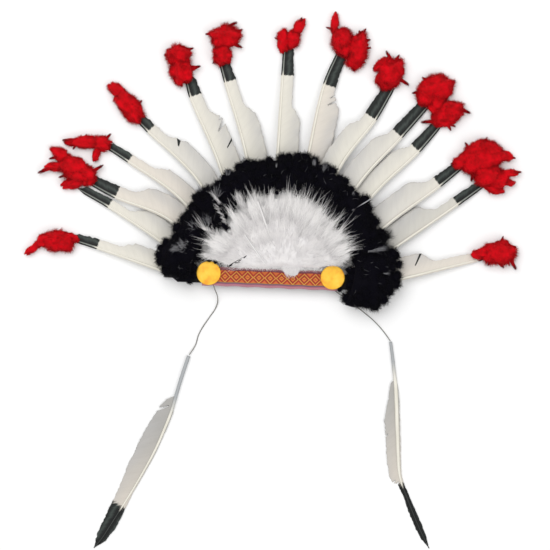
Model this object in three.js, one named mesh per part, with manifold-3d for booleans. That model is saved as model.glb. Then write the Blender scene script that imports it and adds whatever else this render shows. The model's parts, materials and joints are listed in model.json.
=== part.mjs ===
// Feathered headdress, lying face up on a flat surface. Millimetres, +Z up, fan towards +Y.
// The origin is on the surface, under the middle of the headband.
import * as THREE from 'three';
import { mergeVertices } from 'three/addons/utils/BufferGeometryUtils.js';
import Module from 'manifold-3d';

const wasm = await Module();
wasm.setup();

// Headband: an elastic strap underneath, a felt band, the quills, and a woven ribbon on top.
// The strap lies askew of the band by its tilt, in degrees.
const bandTilt = THREE.MathUtils.degToRad(-2.3);
const bandCentreY = -1.1;
const gap = 0.3;
const strap = { halfLength: 122, width: 14, thickness: 1.2, height: 6.2, lap: 32, tilt: -1.7 };
const felt = { length: 200, width: 16, thickness: 2 };
const ribbon = { length: 156, width: 21.8, thickness: 1, wave: 0.35, waves: 9 };
const quillRadius = 1.6;
const feltTop = strap.height + gap + felt.thickness;
const quillZ = feltTop + gap + quillRadius;
const ribbonBottom = quillZ + quillRadius + gap;
const ribbonTop = ribbonBottom + ribbon.thickness;

// Sewn-on discs, one at each temple.
const disc = { radius: 13.8, thickness: 3.8, rim: 0.9, sides: 24 };
const discs = [
  { name: 'disc_left', x: -70.4, y: 5.2 },
  { name: 'disc_right', x: 71.9, y: 0 },
];

// Fan of feathers. Each shaft runs from its root on the band, past the edge of the black plumes
// (edge), to where the dark tip starts (dark) and to the end of the bare tip (end).
// wide and narrow are the vane's widths before and after its step, which is stepAt from the edge.
// side is -1 where the vane is on the right of the shaft seen from the root, 1 where on the left.
const fan = [
  { root: [-100, 0], edge: [-132, 11], dark: [-199, 34.5], end: [-222, 42],
    wide: 19, narrow: 10, stepAt: 38, side: -1, lift: 1.2 },
  { root: [-85, 4], edge: [-118.5, 36], dark: [-186, 82], end: [-212, 97],
    wide: 23, narrow: 9, stepAt: 48, side: -1 },
  { root: [-71, 4], edge: [-112, 64], dark: [-178, 93], end: [-205, 107.5],
    wide: 24, narrow: 13, stepAt: 44, side: -1, lift: 1 },
  { root: [-57, 4], edge: [-95.5, 83], dark: [-163, 134], end: [-184, 148],
    wide: 18, narrow: 9, stepAt: 48, side: -1 },
  { root: [-43, 4], edge: [-78, 105], dark: [-140, 168.5], end: [-151, 180],
    wide: 21, narrow: 10.8, stepAt: 58, side: -1 },
  { root: [-29, 4], edge: [-55, 121], dark: [-91, 208], end: [-95.5, 225],
    wide: 24, narrow: 13, stepAt: 64, side: -1 },
  { root: [-14, 4], edge: [-25, 130.5], dark: [-51, 225], end: [-56, 244],
    wide: 23.5, narrow: 12.5, stepAt: 60, side: -1 },
  { root: [2, 4], edge: [9, 137], dark: [15, 233], end: [17, 262],
    wide: 23, narrow: 12.3, stepAt: 54, side: -1 },
  { root: [20, 4], edge: [45, 144], dark: [63, 222.5], end: [77, 255],
    wide: 24, narrow: 13.5, stepAt: 64, side: -1 },
  { root: [36, 4], edge: [79, 125], dark: [121, 182], end: [139, 213],
    wide: 21.5, narrow: 14, stepAt: 52, side: 1, lift: 1, flat: true },
  { root: [49, 4], edge: [100, 105], dark: [151, 162], end: [179, 194],
    wide: 22, narrow: 13.5, stepAt: 62, side: 1, lift: 0.6 },
  { root: [62, 4], edge: [115, 91], dark: [171, 145.5], end: [193, 171],
    wide: 20, narrow: 12, stepAt: 66, side: 1 },
  { root: [76, 4], edge: [131, 58], dark: [195.5, 106], end: [218.5, 125],
    wide: 24, narrow: 12, stepAt: 62, side: 1, lift: 1 },
  { root: [96, 3], edge: [144, 35], dark: [216, 84.5], end: [243, 104],
    wide: 25, narrow: 9.5, stepAt: 54, side: 1 },
  { root: [113, -9], edge: [152, -1], dark: [215, 14.5], end: [241.5, 21],
    wide: 24, narrow: 10, stepAt: 34, side: 1, lift: 1.2 },
];
const shaftZ = { edge: 9.4, dark: 5, end: 1.8, tip: 0.9 };
const shaftRadius = { root: quillRadius, edge: 1.5, dark: 1, end: 0.7, tip: 0.5 };
const vane = { thickness: 0.9, lead: 1.8, slope: 0.45, stepHalf: 7, tipLength: 12 };

// Red down on the feather tips. A lobe is x, y, length, width and turn; a lock is the x and y of its
// start, the x and y of its tip, and its width at the start.
const tufts = [
  {
    name: 'red_tuft_01',
    lobes: [[-243, 42, 40, 25, 175], [-229, 45.5, 20, 12, 165], [-260, 43, 28, 14, 35],
      [-273, 33.5, 24, 8.5, 36]],
    locks: [[-236, 33, -234, 29.5, 5]],
  },
  {
    name: 'red_tuft_02_03',
    lobes: [[-222, 124, 50, 27, 148], [-241, 142, 26, 15, 150], [-227, 108, 30, 12, 8],
      [-209, 116, 24, 17, 70], [-246, 127.5, 28, 11, 176]],
    locks: [[-252, 127.5, -268, 119.5, 7], [-206, 121, -191, 130, 6], [-230, 119, -244, 115, 4],
      [-244, 139, -255, 136.5, 4]],
  },
  {
    name: 'red_tuft_04',
    lobes: [[-210, 155.5, 54, 14.5, 0], [-194, 154.5, 21, 18, 150], [-200, 142.5, 20, 9, 75]],
    locks: [[-226, 157.5, -240, 158, 7], [-191, 158, -182.5, 166, 5], [-212, 160, -211, 165, 5],
      [-223, 153, -227, 147, 4]],
  },
  {
    name: 'red_tuft_05',
    lobes: [[-162, 197, 45, 23, 123], [-177, 216, 23, 15, 145], [-152.5, 193, 20, 12, 105]],
    locks: [[-153, 197, -147, 204.5, 5], [-170, 194, -175, 195, 3], [-165, 187, -167, 184, 4]],
  },
  {
    name: 'red_tuft_06',
    lobes: [[-105, 256, 30, 26, 0], [-102, 237, 34, 27, 100]],
    locks: [[-92, 240, -79, 243.5, 8], [-98, 261, -87.5, 264.5, 6], [-114, 257, -122.5, 256, 6],
      [-104, 226, -101, 219, 7]],
  },
  {
    name: 'red_tuft_07',
    lobes: [[-52, 277, 37, 27, 5], [-55, 256, 25, 23, 95]],
    locks: [[-54, 286, -37, 294.5, 4], [-64, 280, -75, 280, 5], [-44, 270, -31, 264, 6],
      [-40, 281, -31, 286, 5], [-62, 251, -66, 246, 6]],
  },
  {
    name: 'red_tuft_08',
    lobes: [[15, 272, 29, 15, 92], [26, 274.5, 24, 17, 75], [33, 288, 24, 12, 60]],
    locks: [[34, 292, 37, 300, 6], [11, 274, 5, 276, 3]],
  },
  {
    name: 'red_tuft_09',
    lobes: [[84, 271, 38, 25, 105], [100, 261, 46, 24, 80], [74.5, 292.5, 26, 9, 84]],
    locks: [[77, 283, 64, 288.5, 4], [104, 278, 111, 287, 6], [107, 271, 116, 274, 6],
      [107, 263, 117, 264.5, 5], [97, 245, 96, 237, 6], [102, 276, 103, 285, 4]],
  },
  {
    name: 'red_tuft_10',
    lobes: [[138, 235, 40, 31, 60], [129, 245, 25, 13, 38]],
    locks: [[140, 249, 133, 261.5, 4], [148, 229, 161, 220.5, 6], [144, 248, 149, 257, 6],
      [124, 244, 118, 240, 5]],
  },
  {
    name: 'red_tuft_11_12',
    lobes: [[190, 216, 44, 33, 15], [179, 207, 22, 21, 0], [204, 190, 40, 26, 20],
      [200, 179, 28, 12, 0], [192, 199, 24, 20, 60]],
    locks: [[216, 195, 232, 188.5, 7], [193, 180, 172, 178.5, 5], [205, 177.5, 214, 173, 5],
      [205, 222, 213.5, 227, 6], [174, 214, 163, 212, 6], [205, 176, 208, 168.5, 5],
      [180, 225, 175, 231, 6]],
  },
  {
    name: 'red_tuft_13_14', floor: 5,
    lobes: [[243, 138, 54, 38, 18], [222, 134, 26, 16, 30], [266, 140.5, 30, 13, 172],
      [253, 116, 42, 29, 160], [272, 119.5, 30, 10, 5], [275, 109.5, 16, 8, 170],
      [259, 102, 24, 13, 170]],
    locks: [[235, 124, 231, 109, 4], [215, 133.5, 207, 130, 6], [230, 146, 224, 156, 6],
      [279, 121, 290, 121, 5], [274, 139, 283, 137, 5], [262, 99, 270, 98, 5], [246, 153, 250, 162, 6]],
  },
  {
    name: 'red_tuft_15', floor: 5,
    lobes: [[263, 28, 41, 27, 5], [246, 28.5, 32, 13, 15], [266, 36.5, 22, 13, 15]],
    locks: [[266, 40, 268.5, 48, 5], [275, 24, 283.5, 8, 7], [262, 19, 269.5, 10.5, 5],
      [275, 36, 284, 35, 5], [254, 20, 250, 13, 5], [271, 21, 276, 13, 4]],
  },
];
const tuft = { floor: 3.6, rise: 12, fullWidth: 24, lockRise: 3.2 };

// Plumes are wedges about a hub below the band. Radii and crown height at each bearing.
const hub = { x: 10, y: -5 };
const blackOutline = [
  { bearing: -19, inner: 79, outer: 90, crown: 11 },
  { bearing: -14, inner: 78, outer: 115, crown: 15 },
  { bearing: -4, inner: 78, outer: 138, crown: 18 },
  { bearing: 6, inner: 82, outer: 137, crown: 19 },
  { bearing: 12, inner: 84, outer: 140, crown: 19 },
  { bearing: 17, inner: 86, outer: 133, crown: 18 },
  { bearing: 29, inner: 90, outer: 132, crown: 18 },
  { bearing: 44, inner: 94, outer: 139, crown: 18 },
  { bearing: 56, inner: 96, outer: 141, crown: 18 },
  { bearing: 71, inner: 100, outer: 147, crown: 17 },
  { bearing: 83, inner: 104, outer: 147, crown: 17 },
  { bearing: 97, inner: 104, outer: 141, crown: 17 },
  { bearing: 109, inner: 102, outer: 141, crown: 17 },
  { bearing: 121, inner: 98, outer: 138, crown: 18 },
  { bearing: 134, inner: 92, outer: 139, crown: 18 },
  { bearing: 146, inner: 91, outer: 135, crown: 18 },
  { bearing: 156, inner: 96, outer: 133, crown: 18 },
  { bearing: 164, inner: 97, outer: 144, crown: 18 },
  { bearing: 172, inner: 97, outer: 140, crown: 17 },
  { bearing: 180, inner: 97, outer: 118, crown: 13 },
];
const blackPads = [
  { name: 'black_side_right', from: -19, to: 12 },
  ...Array.from({ length: 7 }, (_, i) => (
    { name: `black_plume_0${7 - i}`, from: 12 + (146 * i) / 7, to: 12 + (146 * (i + 1)) / 7 })),
  { name: 'black_side_left', from: 158, to: 180 },
];
const whiteOutline = [
  { bearing: 20, outer: 79, crown: 13 },
  { bearing: 35, outer: 84, crown: 16 },
  { bearing: 60, outer: 89, crown: 19 },
  { bearing: 80, outer: 96, crown: 20 },
  { bearing: 100, outer: 97, crown: 20 },
  { bearing: 120, outer: 91, crown: 19 },
  { bearing: 145, outer: 84, crown: 16 },
  { bearing: 158, outer: 82, crown: 13 },
];
const whitePads = { count: 6, from: 20, to: 158, ribbonEdge: 16.5 };
const ribbonFluff = { x: 26.5, y: 5.1, length: 22, width: 12, rise: 6 };
const floors = { black: 13.4, white: 13.6 };
const plume = { sideGap: 0.25, lockRadius: 4.4, lockReach: 5, stations: 4 };

// Feathers that hang from the discs on threads and lie on the surface.
// Rows run from the quill's end to the tip: shaft radius, vane on the left, vane on the right.
const hangingLeft = [
  { x: -93.7, y: -90.3, shaft: 2.2, left: 0, right: 0 },
  { x: -100, y: -108.7, shaft: 2.2, left: 0, right: 0 },
  { x: -107.5, y: -133, shaft: 2, left: 0, right: 0 },
  { x: -110, y: -142, shaft: 1.9, left: 4, right: 0 },
  { x: -113.5, y: -154, shaft: 1.8, left: 15, right: 2.2 },
  { x: -123, y: -177.7, shaft: 1.6, left: 19.5, right: 2.2 },
  { x: -133.4, y: -200.7, shaft: 1.4, left: 21, right: 2 },
  { x: -146, y: -223.7, shaft: 1.2, left: 19.5, right: 2 },
  { x: -159.5, y: -246.7, shaft: 1, left: 15.5, right: 2 },
  { x: -171, y: -265, shaft: 0.9, left: 12.5, right: 4.5 },
  { x: -183, y: -284, shaft: 0.8, left: 10.5, right: 7 },
  { x: -193.5, y: -300, shaft: 0.7, left: 7.5, right: 5.5 },
  { x: -203, y: -311.7, shaft: 0.5, left: 0, right: 0 },
];
const hangingRight = [
  { x: 139, y: -74, shaft: 2.2, left: 0, right: 0 },
  { x: 141, y: -90.3, shaft: 2.2, left: 0, right: 0 },
  { x: 143.6, y: -114, shaft: 2.1, left: 0, right: 0 },
  { x: 144.6, y: -123, shaft: 2, left: 6, right: 2.5 },
  { x: 145.5, y: -141, shaft: 1.9, left: 8.5, right: 3.5 },
  { x: 146.2, y: -164, shaft: 1.8, left: 14, right: 3.5 },
  { x: 146.9, y: -184, shaft: 1.6, left: 13, right: 3.5 },
  { x: 147.6, y: -206, shaft: 1.4, left: 10.5, right: 3.2 },
  { x: 149, y: -226, shaft: 1.2, left: 8.5, right: 2.5 },
  { x: 151.6, y: -237, shaft: 1, left: 5, right: 2.6 },
  { x: 156, y: -249, shaft: 0.9, left: 3.4, right: 3.4 },
  { x: 162.2, y: -265, shaft: 0.8, left: 4, right: 4 },
  { x: 170.2, y: -284.6, shaft: 0.7, left: 4.3, right: 4.3 },
  { x: 177.1, y: -299.6, shaft: 0.6, left: 3.5, right: 3.5 },
  { x: 183.4, y: -312.2, shaft: 0.5, left: 0, right: 0 },
];

// Threads, from behind each disc down to the surface and into the hanging feather's quill.
const thread = { radius: 0.55, sides: 8, step: 2.75 };
const threadLeft = [
  [-66, -4, 10.4], [-65, -8.5, 10.3], [-63.5, -13.5, 9.5], [-61.4, -18.5, 7],
  [-60.2, -24, 3.8], [-60.9, -30.5, 1.6], [-63.5, -36.8, 0.8], [-67.9, -43.1, 0.7],
  [-72, -49, 0.7], [-75.9, -54.6, 0.7], [-79.6, -60.6, 0.7], [-82.8, -67.3, 0.7],
  [-85.4, -76.5, 0.8], [-89, -83, 1.3], [-93.2, -89, 2.1],
];
const threadRight = [
  [69.5, -4, 10.4], [70.5, -8.5, 10.3], [73.3, -13.5, 9.9], [79, -18.5, 8.3],
  [86.3, -23.8, 5.6], [93, -29, 3.2], [99, -33.4, 1.6], [104.7, -37.4, 0.8],
  [111, -42.5, 0.7], [117.3, -47.7, 0.7], [123.7, -54, 0.7], [129.4, -60.4, 0.7],
  [134, -66.4, 1.1], [138.4, -72.8, 2.1],
];

const materials = {
  strap: new THREE.MeshStandardMaterial({ color: 0x2a2628, roughness: 0.85, metalness: 0 }),
  felt: new THREE.MeshStandardMaterial({ color: 0x3a2a26, roughness: 0.95, metalness: 0 }),
  ribbon: new THREE.MeshStandardMaterial({ color: 0xc8502c, roughness: 0.8, metalness: 0 }),
  disc: new THREE.MeshStandardMaterial({ color: 0xffcd2e, roughness: 0.45, metalness: 0 }),
  feather: new THREE.MeshStandardMaterial({ color: 0xe6e1d3, roughness: 0.6, metalness: 0 }),
  redDown: new THREE.MeshStandardMaterial({ color: 0xc00f20, roughness: 0.9, metalness: 0 }),
  blackDown: new THREE.MeshStandardMaterial({ color: 0x0c0a0f, roughness: 0.9, metalness: 0 }),
  whiteDown: new THREE.MeshStandardMaterial({ color: 0xe8e4e0, roughness: 0.9, metalness: 0 }),
  thread: new THREE.MeshStandardMaterial({ color: 0x55534f, roughness: 0.7, metalness: 0 }),
};

const headdress = new THREE.Group();
const headband = new THREE.Group();
headband.position.y = bandCentreY;
headband.rotation.z = bandTilt;
headdress.add(headband);

function addPiece(group, name, geometry, material) {
  const mesh = new THREE.Mesh(geometry, material);
  mesh.name = name;
  group.add(mesh);
  return mesh;
}

function signedVolume(position, index) {
  const [a, b, c] = [new THREE.Vector3(), new THREE.Vector3(), new THREE.Vector3()];
  let volume = 0;
  for (let i = 0; i < index.length; i += 3) {
    a.fromBufferAttribute(position, index[i]);
    b.fromBufferAttribute(position, index[i + 1]);
    c.fromBufferAttribute(position, index[i + 2]);
    volume += a.dot(b.cross(c)) / 6;
  }
  return volume;
}

// A closed body through rings of points. Each ring has the same number of points.
function loft(rings) {
  const count = rings[0].length;
  const index = [];
  for (let i = 0; i < rings.length - 1; i++) {
    for (let j = 0; j < count; j++) {
      const a = i * count + j;
      const b = i * count + ((j + 1) % count);
      index.push(a, b, a + count, b, b + count, a + count);
    }
  }
  const last = (rings.length - 1) * count;
  for (let j = 1; j < count - 1; j++) {
    index.push(0, j + 1, j);
    index.push(last, last + j, last + j + 1);
  }
  const geometry = new THREE.BufferGeometry().setFromPoints(rings.flat());
  const outward = signedVolume(geometry.getAttribute('position'), index) > 0;
  geometry.setIndex(outward ? index : index.reverse());
  return geometry;
}

function toSolid(geometry) {
  const bare = geometry.clone();
  bare.deleteAttribute('normal');
  bare.deleteAttribute('uv');
  const merged = mergeVertices(bare, 1e-4);
  return new wasm.Manifold(new wasm.Mesh({
    numProp: 3,
    vertProperties: new Float32Array(merged.getAttribute('position').array),
    triVerts: new Uint32Array(merged.getIndex().array),
  }));
}

function toGeometry(solid) {
  const mesh = solid.getMesh();
  const geometry = new THREE.BufferGeometry();
  geometry.setAttribute('position', new THREE.BufferAttribute(mesh.vertProperties, 3));
  geometry.setIndex(new THREE.BufferAttribute(mesh.triVerts, 1));
  return geometry;
}

function fuse(geometries) {
  return geometries.map(toSolid).reduce((whole, solid) => whole.add(solid));
}

// A tapered lock of down, from base towards direction.
function lock(base, direction, length, radius, sides = 4) {
  const cone = new THREE.ConeGeometry(radius, length, sides);
  cone.translate(0, length / 2, 0);
  const up = new THREE.Vector3(0, 1, 0);
  cone.applyQuaternion(new THREE.Quaternion().setFromUnitVectors(up, direction.clone().normalize()));
  return cone.translate(base.x, base.y, base.z);
}

// One section across a feather: a shaft with a thin vane on each side.
function featherSection(point, sideways, { shaft, left, right, drop = 0 }) {
  const half = vane.thickness / 2;
  const bare = Math.max(left, right) < 1.2 * shaft;
  const edgeHalf = bare ? 0.4 * shaft : half;
  const shoulder = bare ? 0.75 * shaft : half;
  const leftEdge = Math.max(left, shaft);
  const rightEdge = Math.max(right, shaft);
  const outline = [
    [-leftEdge, -edgeHalf - drop], [0, -shaft], [rightEdge, -edgeHalf],
    [rightEdge, edgeHalf], [0.8 * shaft, shoulder], [0, shaft], [-0.8 * shaft, shoulder],
    [-leftEdge, edgeHalf - drop],
  ];
  return outline.map(([across, height]) => new THREE.Vector3(
    point.x + across * sideways.x, point.y + across * sideways.y, point.z + height));
}

// Unit vector to the right of a direction of travel, in plan.
function rightOf(tangent) {
  return new THREE.Vector3(tangent.y, -tangent.x, 0).normalize();
}

function fanFeather(row) {
  const lift = row.lift ?? 0;
  const at = ([x, y], z) => new THREE.Vector3(x, y, z);
  const root = at(row.root, quillZ);
  const edge = at(row.edge, shaftZ.edge + lift);
  const dark = at(row.dark, shaftZ.dark + lift / 2);
  const end = at(row.end, shaftZ.end);
  const onward = end.clone().sub(dark).setZ(0).setLength(vane.tipLength);
  const tip = end.clone().add(onward).setZ(shaftZ.tip);
  const curve = new THREE.CatmullRomCurve3([root, edge, dark, end, tip], false, 'centripetal');
  const segments = 4;
  const run = dark.distanceTo(edge);
  const step = row.stepAt / run;
  const half = vane.stepHalf / run;
  const stations = [
    { t: 0, shaft: shaftRadius.root, width: 0 },
    { t: 0.4, shaft: shaftRadius.root, width: 0 },
    { t: 0.68, shaft: shaftRadius.root, width: 0 },
    { t: 0.84, shaft: shaftRadius.edge, width: 0.7 * row.wide },
    { t: 1, shaft: shaftRadius.edge, width: 0.95 * row.wide },
    { t: 1 + step / 2, shaft: 1.4, width: row.wide },
    { t: 1 + step - half, shaft: 1.3, width: 0.92 * row.wide },
    { t: 1 + step + half, shaft: 1.1, width: row.narrow },
    { t: 2.05, shaft: shaftRadius.dark, width: row.narrow },
    { t: 3, shaft: shaftRadius.end, width: 0.85 * row.narrow },
    { t: 4, shaft: shaftRadius.tip, width: 0 },
  ];
  const rings = stations.map(({ t, shaft, width }) => {
    const point = curve.getPoint(t / segments);
    const tangent = curve.getTangent(t / segments);
    const slope = row.flat ? 0 : vane.slope;
    const drop = slope * Math.max(point.z - 1.2, 0) * (width / row.wide);
    const sideways = rightOf(tangent).multiplyScalar(row.side);
    const lead = width > 0 ? Math.max(vane.lead, shaft) : 0;
    return featherSection(point, sideways, { shaft, left: width, right: lead, drop });
  });
  return loft(rings);
}

// A feather that lies flat on the surface, from a table of sections.
function lyingFeather(rows) {
  const points = rows.map((row) => new THREE.Vector3(row.x, row.y, row.shaft + 0.05));
  const rings = rows.map((row, i) => {
    const before = points[Math.max(i - 1, 0)];
    const after = points[Math.min(i + 1, rows.length - 1)];
    const sideways = rightOf(after.clone().sub(before)).multiplyScalar(-1);
    return featherSection(points[i], sideways, row);
  });
  return loft(rings);
}

// A flattened dome of down, length along turn (degrees), standing on floor.
function lobe(x, y, length, width, turn, rise, floor) {
  const dome = new THREE.SphereGeometry(1, 8, 6);
  dome.rotateX(Math.PI / 2);
  dome.scale(length / 2, width / 2, rise);
  dome.rotateZ(THREE.MathUtils.degToRad(turn));
  return dome.translate(x, y, floor);
}

function redTuft({ lobes, locks, floor = tuft.floor }) {
  const parts = lobes.map(([x, y, length, width, turn]) => (
    lobe(x, y, length, width, turn, tuft.rise * Math.min(1, width / tuft.fullWidth), floor)));
  for (const [x, y, tipX, tipY, width] of locks) {
    const base = new THREE.Vector3(x, y, floor + tuft.lockRise);
    const reach = new THREE.Vector3(tipX - x, tipY - y, -0.5);
    parts.push(lock(base, reach, reach.length(), width / 2));
  }
  const [[x, y]] = lobes;
  const slab = new THREE.BoxGeometry(200, 200, 40).translate(x, y, floor + 20);
  return toGeometry(fuse(parts).intersect(toSolid(slab)));
}

// Value of a column of an outline table at a bearing, by straight lines between rows.
function readOutline(table, column, bearing) {
  const next = Math.max(table.findIndex((row) => row.bearing >= bearing), 1);
  const [low, high] = [table[next - 1], table[next]];
  const share = (bearing - low.bearing) / (high.bearing - low.bearing);
  return THREE.MathUtils.lerp(low[column], high[column], share);
}

function fromHub(bearing, radius, z) {
  const angle = THREE.MathUtils.degToRad(bearing);
  return new THREE.Vector3(hub.x + radius * Math.cos(angle), hub.y + radius * Math.sin(angle), z);
}

// A wedge of plume between two bearings, with locks along its outer edge and on its crown.
function plumeWedge({ from, to, sizeAt, floor, outerLocks, crownLocks }) {
  const [first, last] = [from + plume.sideGap, to - plume.sideGap];
  const rings = [];
  for (let i = 0; i < plume.stations; i++) {
    const bearing = THREE.MathUtils.lerp(first, last, i / (plume.stations - 1));
    const { inner, outer, crown } = sizeAt(bearing);
    const depth = outer - inner;
    rings.push([
      fromHub(bearing, inner, floor),
      fromHub(bearing, outer, floor),
      fromHub(bearing, outer - 0.08 * depth, floor + 0.45 * crown),
      fromHub(bearing, outer - 0.45 * depth, floor + crown),
      fromHub(bearing, inner + 0.15 * depth, floor + 0.6 * crown),
    ]);
  }
  const parts = [loft(rings)];
  for (let i = 0; i < outerLocks; i++) {
    const bearing = THREE.MathUtils.lerp(first, last, (i + 0.5) / outerLocks);
    const { outer, crown } = sizeAt(bearing);
    const base = fromHub(bearing, outer - 9, floor + (0.25 + 0.1 * (i % 2)) * crown);
    const direction = fromHub(bearing, 1, 0).sub(fromHub(bearing, 0, 0)).setZ(0.1);
    parts.push(lock(base, direction, 9 + plume.lockReach - (i % 2), plume.lockRadius));
  }
  for (let i = 0; i < crownLocks; i++) {
    const bearing = THREE.MathUtils.lerp(first, last, (i + 0.5) / crownLocks);
    const { inner, outer, crown } = sizeAt(bearing);
    const base = fromHub(bearing, inner + 0.35 * (outer - inner), floor + 0.6 * crown);
    const direction = fromHub(bearing, 1, 0).sub(fromHub(bearing, 0, 0)).setZ(0.75);
    parts.push(lock(base, direction, 0.6 * crown + 6, plume.lockRadius));
  }
  return fuse(parts);
}

function blackSize(bearing) {
  return {
    inner: readOutline(blackOutline, 'inner', bearing),
    outer: readOutline(blackOutline, 'outer', bearing),
    crown: readOutline(blackOutline, 'crown', bearing),
  };
}

// White plumes start at the ribbon's upper edge.
function whiteSize(bearing) {
  return {
    inner: whitePads.ribbonEdge / Math.sin(THREE.MathUtils.degToRad(bearing)),
    outer: readOutline(whiteOutline, 'outer', bearing),
    crown: readOutline(whiteOutline, 'crown', bearing),
  };
}

function buildHeadband() {
  const { halfLength, width, thickness, height, lap } = strap;
  const radius = height / 2;
  const bend = halfLength - radius;
  const quarter = Math.PI / 2;
  const loop = new THREE.Shape();
  loop.moveTo(lap - halfLength, height);
  loop.lineTo(-bend, height);
  loop.absarc(-bend, radius, radius, quarter, 3 * quarter, false);
  loop.lineTo(bend, 0);
  loop.absarc(bend, radius, radius, -quarter, quarter, false);
  loop.lineTo(halfLength - lap, height);
  loop.lineTo(halfLength - lap, height - thickness);
  loop.lineTo(bend, height - thickness);
  loop.absarc(bend, radius, radius - thickness, quarter, -quarter, true);
  loop.lineTo(-bend, thickness);
  loop.absarc(-bend, radius, radius - thickness, 3 * quarter, quarter, true);
  loop.lineTo(lap - halfLength, height - thickness);
  const loopOptions = { depth: width, bevelEnabled: false, curveSegments: 5 };
  const loopGeometry = new THREE.ExtrudeGeometry(loop, loopOptions);
  loopGeometry.rotateX(quarter).translate(0, width / 2, 0);
  const loopPiece = addPiece(headband, 'back_strap', loopGeometry, materials.strap);
  loopPiece.rotation.z = THREE.MathUtils.degToRad(strap.tilt);

  const band = new THREE.BoxGeometry(felt.length, felt.width, felt.thickness);
  band.translate(0, 0, feltTop - felt.thickness / 2);
  addPiece(headband, 'backing_band', band, materials.felt);

  const outline = new THREE.Shape();
  const edgeSteps = 2 * ribbon.waves;
  const edgePoint = (i, side) => [
    ribbon.length * (i / edgeSteps - 0.5),
    side * (ribbon.width / 2 + ribbon.wave * Math.sin(2.2 * i + side)),
  ];
  outline.moveTo(...edgePoint(0, -1));
  for (let i = 1; i <= edgeSteps; i++) outline.lineTo(...edgePoint(i, -1));
  for (let i = edgeSteps; i >= 0; i--) outline.lineTo(...edgePoint(i, 1));
  const ribbonGeometry = new THREE.ExtrudeGeometry(outline, { depth: ribbon.thickness, bevelEnabled: false });
  addPiece(headband, 'woven_ribbon', ribbonGeometry.translate(0, 0, ribbonBottom), materials.ribbon);
}

function buildDiscs() {
  const { radius, thickness, rim, sides } = disc;
  const profile = [
    [0, 0], [radius - rim, 0], [radius, rim], [radius, thickness - 1.6 * rim],
    [radius - rim, thickness - 0.5 * rim], [0, thickness],
  ].map(([r, z]) => new THREE.Vector2(r, z));
  for (const { name, x, y } of discs) {
    const geometry = new THREE.LatheGeometry(profile, sides).rotateX(Math.PI / 2);
    addPiece(headdress, name, geometry, materials.disc).position.set(x, y, ribbonTop + gap);
  }
}

function buildFan() {
  fan.forEach((row, i) => {
    const name = `fan_feather_${String(i + 1).padStart(2, '0')}`;
    addPiece(headdress, name, fanFeather(row), materials.feather);
  });
  for (const row of tufts) addPiece(headdress, row.name, redTuft(row), materials.redDown);
}

function buildPlumes() {
  for (const { name, from, to } of blackPads) {
    const wedge = plumeWedge({
      from, to, sizeAt: blackSize, floor: floors.black, outerLocks: 4, crownLocks: 4 });
    addPiece(headdress, name, toGeometry(wedge), materials.blackDown);
  }
  const spread = (whitePads.to - whitePads.from) / whitePads.count;
  for (let i = 0; i < whitePads.count; i++) {
    const from = whitePads.from + i * spread;
    const wedge = plumeWedge({
      from, to: from + spread, sizeAt: whiteSize, floor: floors.white, outerLocks: 3, crownLocks: 2 });
    addPiece(headdress, `white_plume_0${whitePads.count - i}`, toGeometry(wedge), materials.whiteDown);
  }
  const { x, y, length, width, rise } = ribbonFluff;
  const dome = lobe(x, y, length, width, 0, rise, floors.white);
  const slab = new THREE.BoxGeometry(60, 60, 20).translate(x, y, floors.white + 10);
  const fluff = toSolid(dome).intersect(toSolid(slab));
  addPiece(headdress, 'white_fluff', toGeometry(fluff), materials.whiteDown);
}

function buildHangers() {
  addPiece(headdress, 'hanging_feather_left', lyingFeather(hangingLeft), materials.feather);
  addPiece(headdress, 'hanging_feather_right', lyingFeather(hangingRight), materials.feather);
  const section = new THREE.Shape();
  for (let i = 0; i < thread.sides; i++) {
    const angle = (2 * Math.PI * i) / thread.sides;
    const corner = [thread.radius * Math.cos(angle), thread.radius * Math.sin(angle)];
    if (i === 0) section.moveTo(...corner);
    else section.lineTo(...corner);
  }
  for (const [name, route] of [['thread_left', threadLeft], ['thread_right', threadRight]]) {
    const extrudePath = new THREE.CatmullRomCurve3(route.map((point) => new THREE.Vector3(...point)));
    const steps = Math.round(extrudePath.getLength() / thread.step);
    const tube = new THREE.ExtrudeGeometry(section, { steps, bevelEnabled: false, extrudePath });
    addPiece(headdress, name, tube, materials.thread);
  }
}

buildHeadband();
buildDiscs();
buildFan();
buildPlumes();
buildHangers();

export default headdress;
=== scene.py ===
import json
import math
import bmesh
import bpy
import numpy as np
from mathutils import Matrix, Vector

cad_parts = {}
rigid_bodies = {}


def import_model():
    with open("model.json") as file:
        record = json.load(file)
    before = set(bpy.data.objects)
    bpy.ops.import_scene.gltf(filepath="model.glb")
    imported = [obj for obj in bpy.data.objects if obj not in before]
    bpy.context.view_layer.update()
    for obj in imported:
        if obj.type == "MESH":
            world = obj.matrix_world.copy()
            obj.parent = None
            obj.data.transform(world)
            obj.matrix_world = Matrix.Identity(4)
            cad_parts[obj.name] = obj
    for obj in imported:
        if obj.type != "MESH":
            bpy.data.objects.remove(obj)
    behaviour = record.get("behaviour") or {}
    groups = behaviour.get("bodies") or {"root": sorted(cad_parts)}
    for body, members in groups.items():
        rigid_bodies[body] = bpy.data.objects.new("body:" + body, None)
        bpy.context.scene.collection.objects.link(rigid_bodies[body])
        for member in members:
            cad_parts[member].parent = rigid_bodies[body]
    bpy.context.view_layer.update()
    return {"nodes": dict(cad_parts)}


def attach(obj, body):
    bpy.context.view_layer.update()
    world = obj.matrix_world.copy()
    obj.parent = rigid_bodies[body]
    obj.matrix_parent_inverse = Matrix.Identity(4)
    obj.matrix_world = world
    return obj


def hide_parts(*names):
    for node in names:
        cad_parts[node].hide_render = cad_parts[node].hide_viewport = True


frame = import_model()
mm = 0.001


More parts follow.
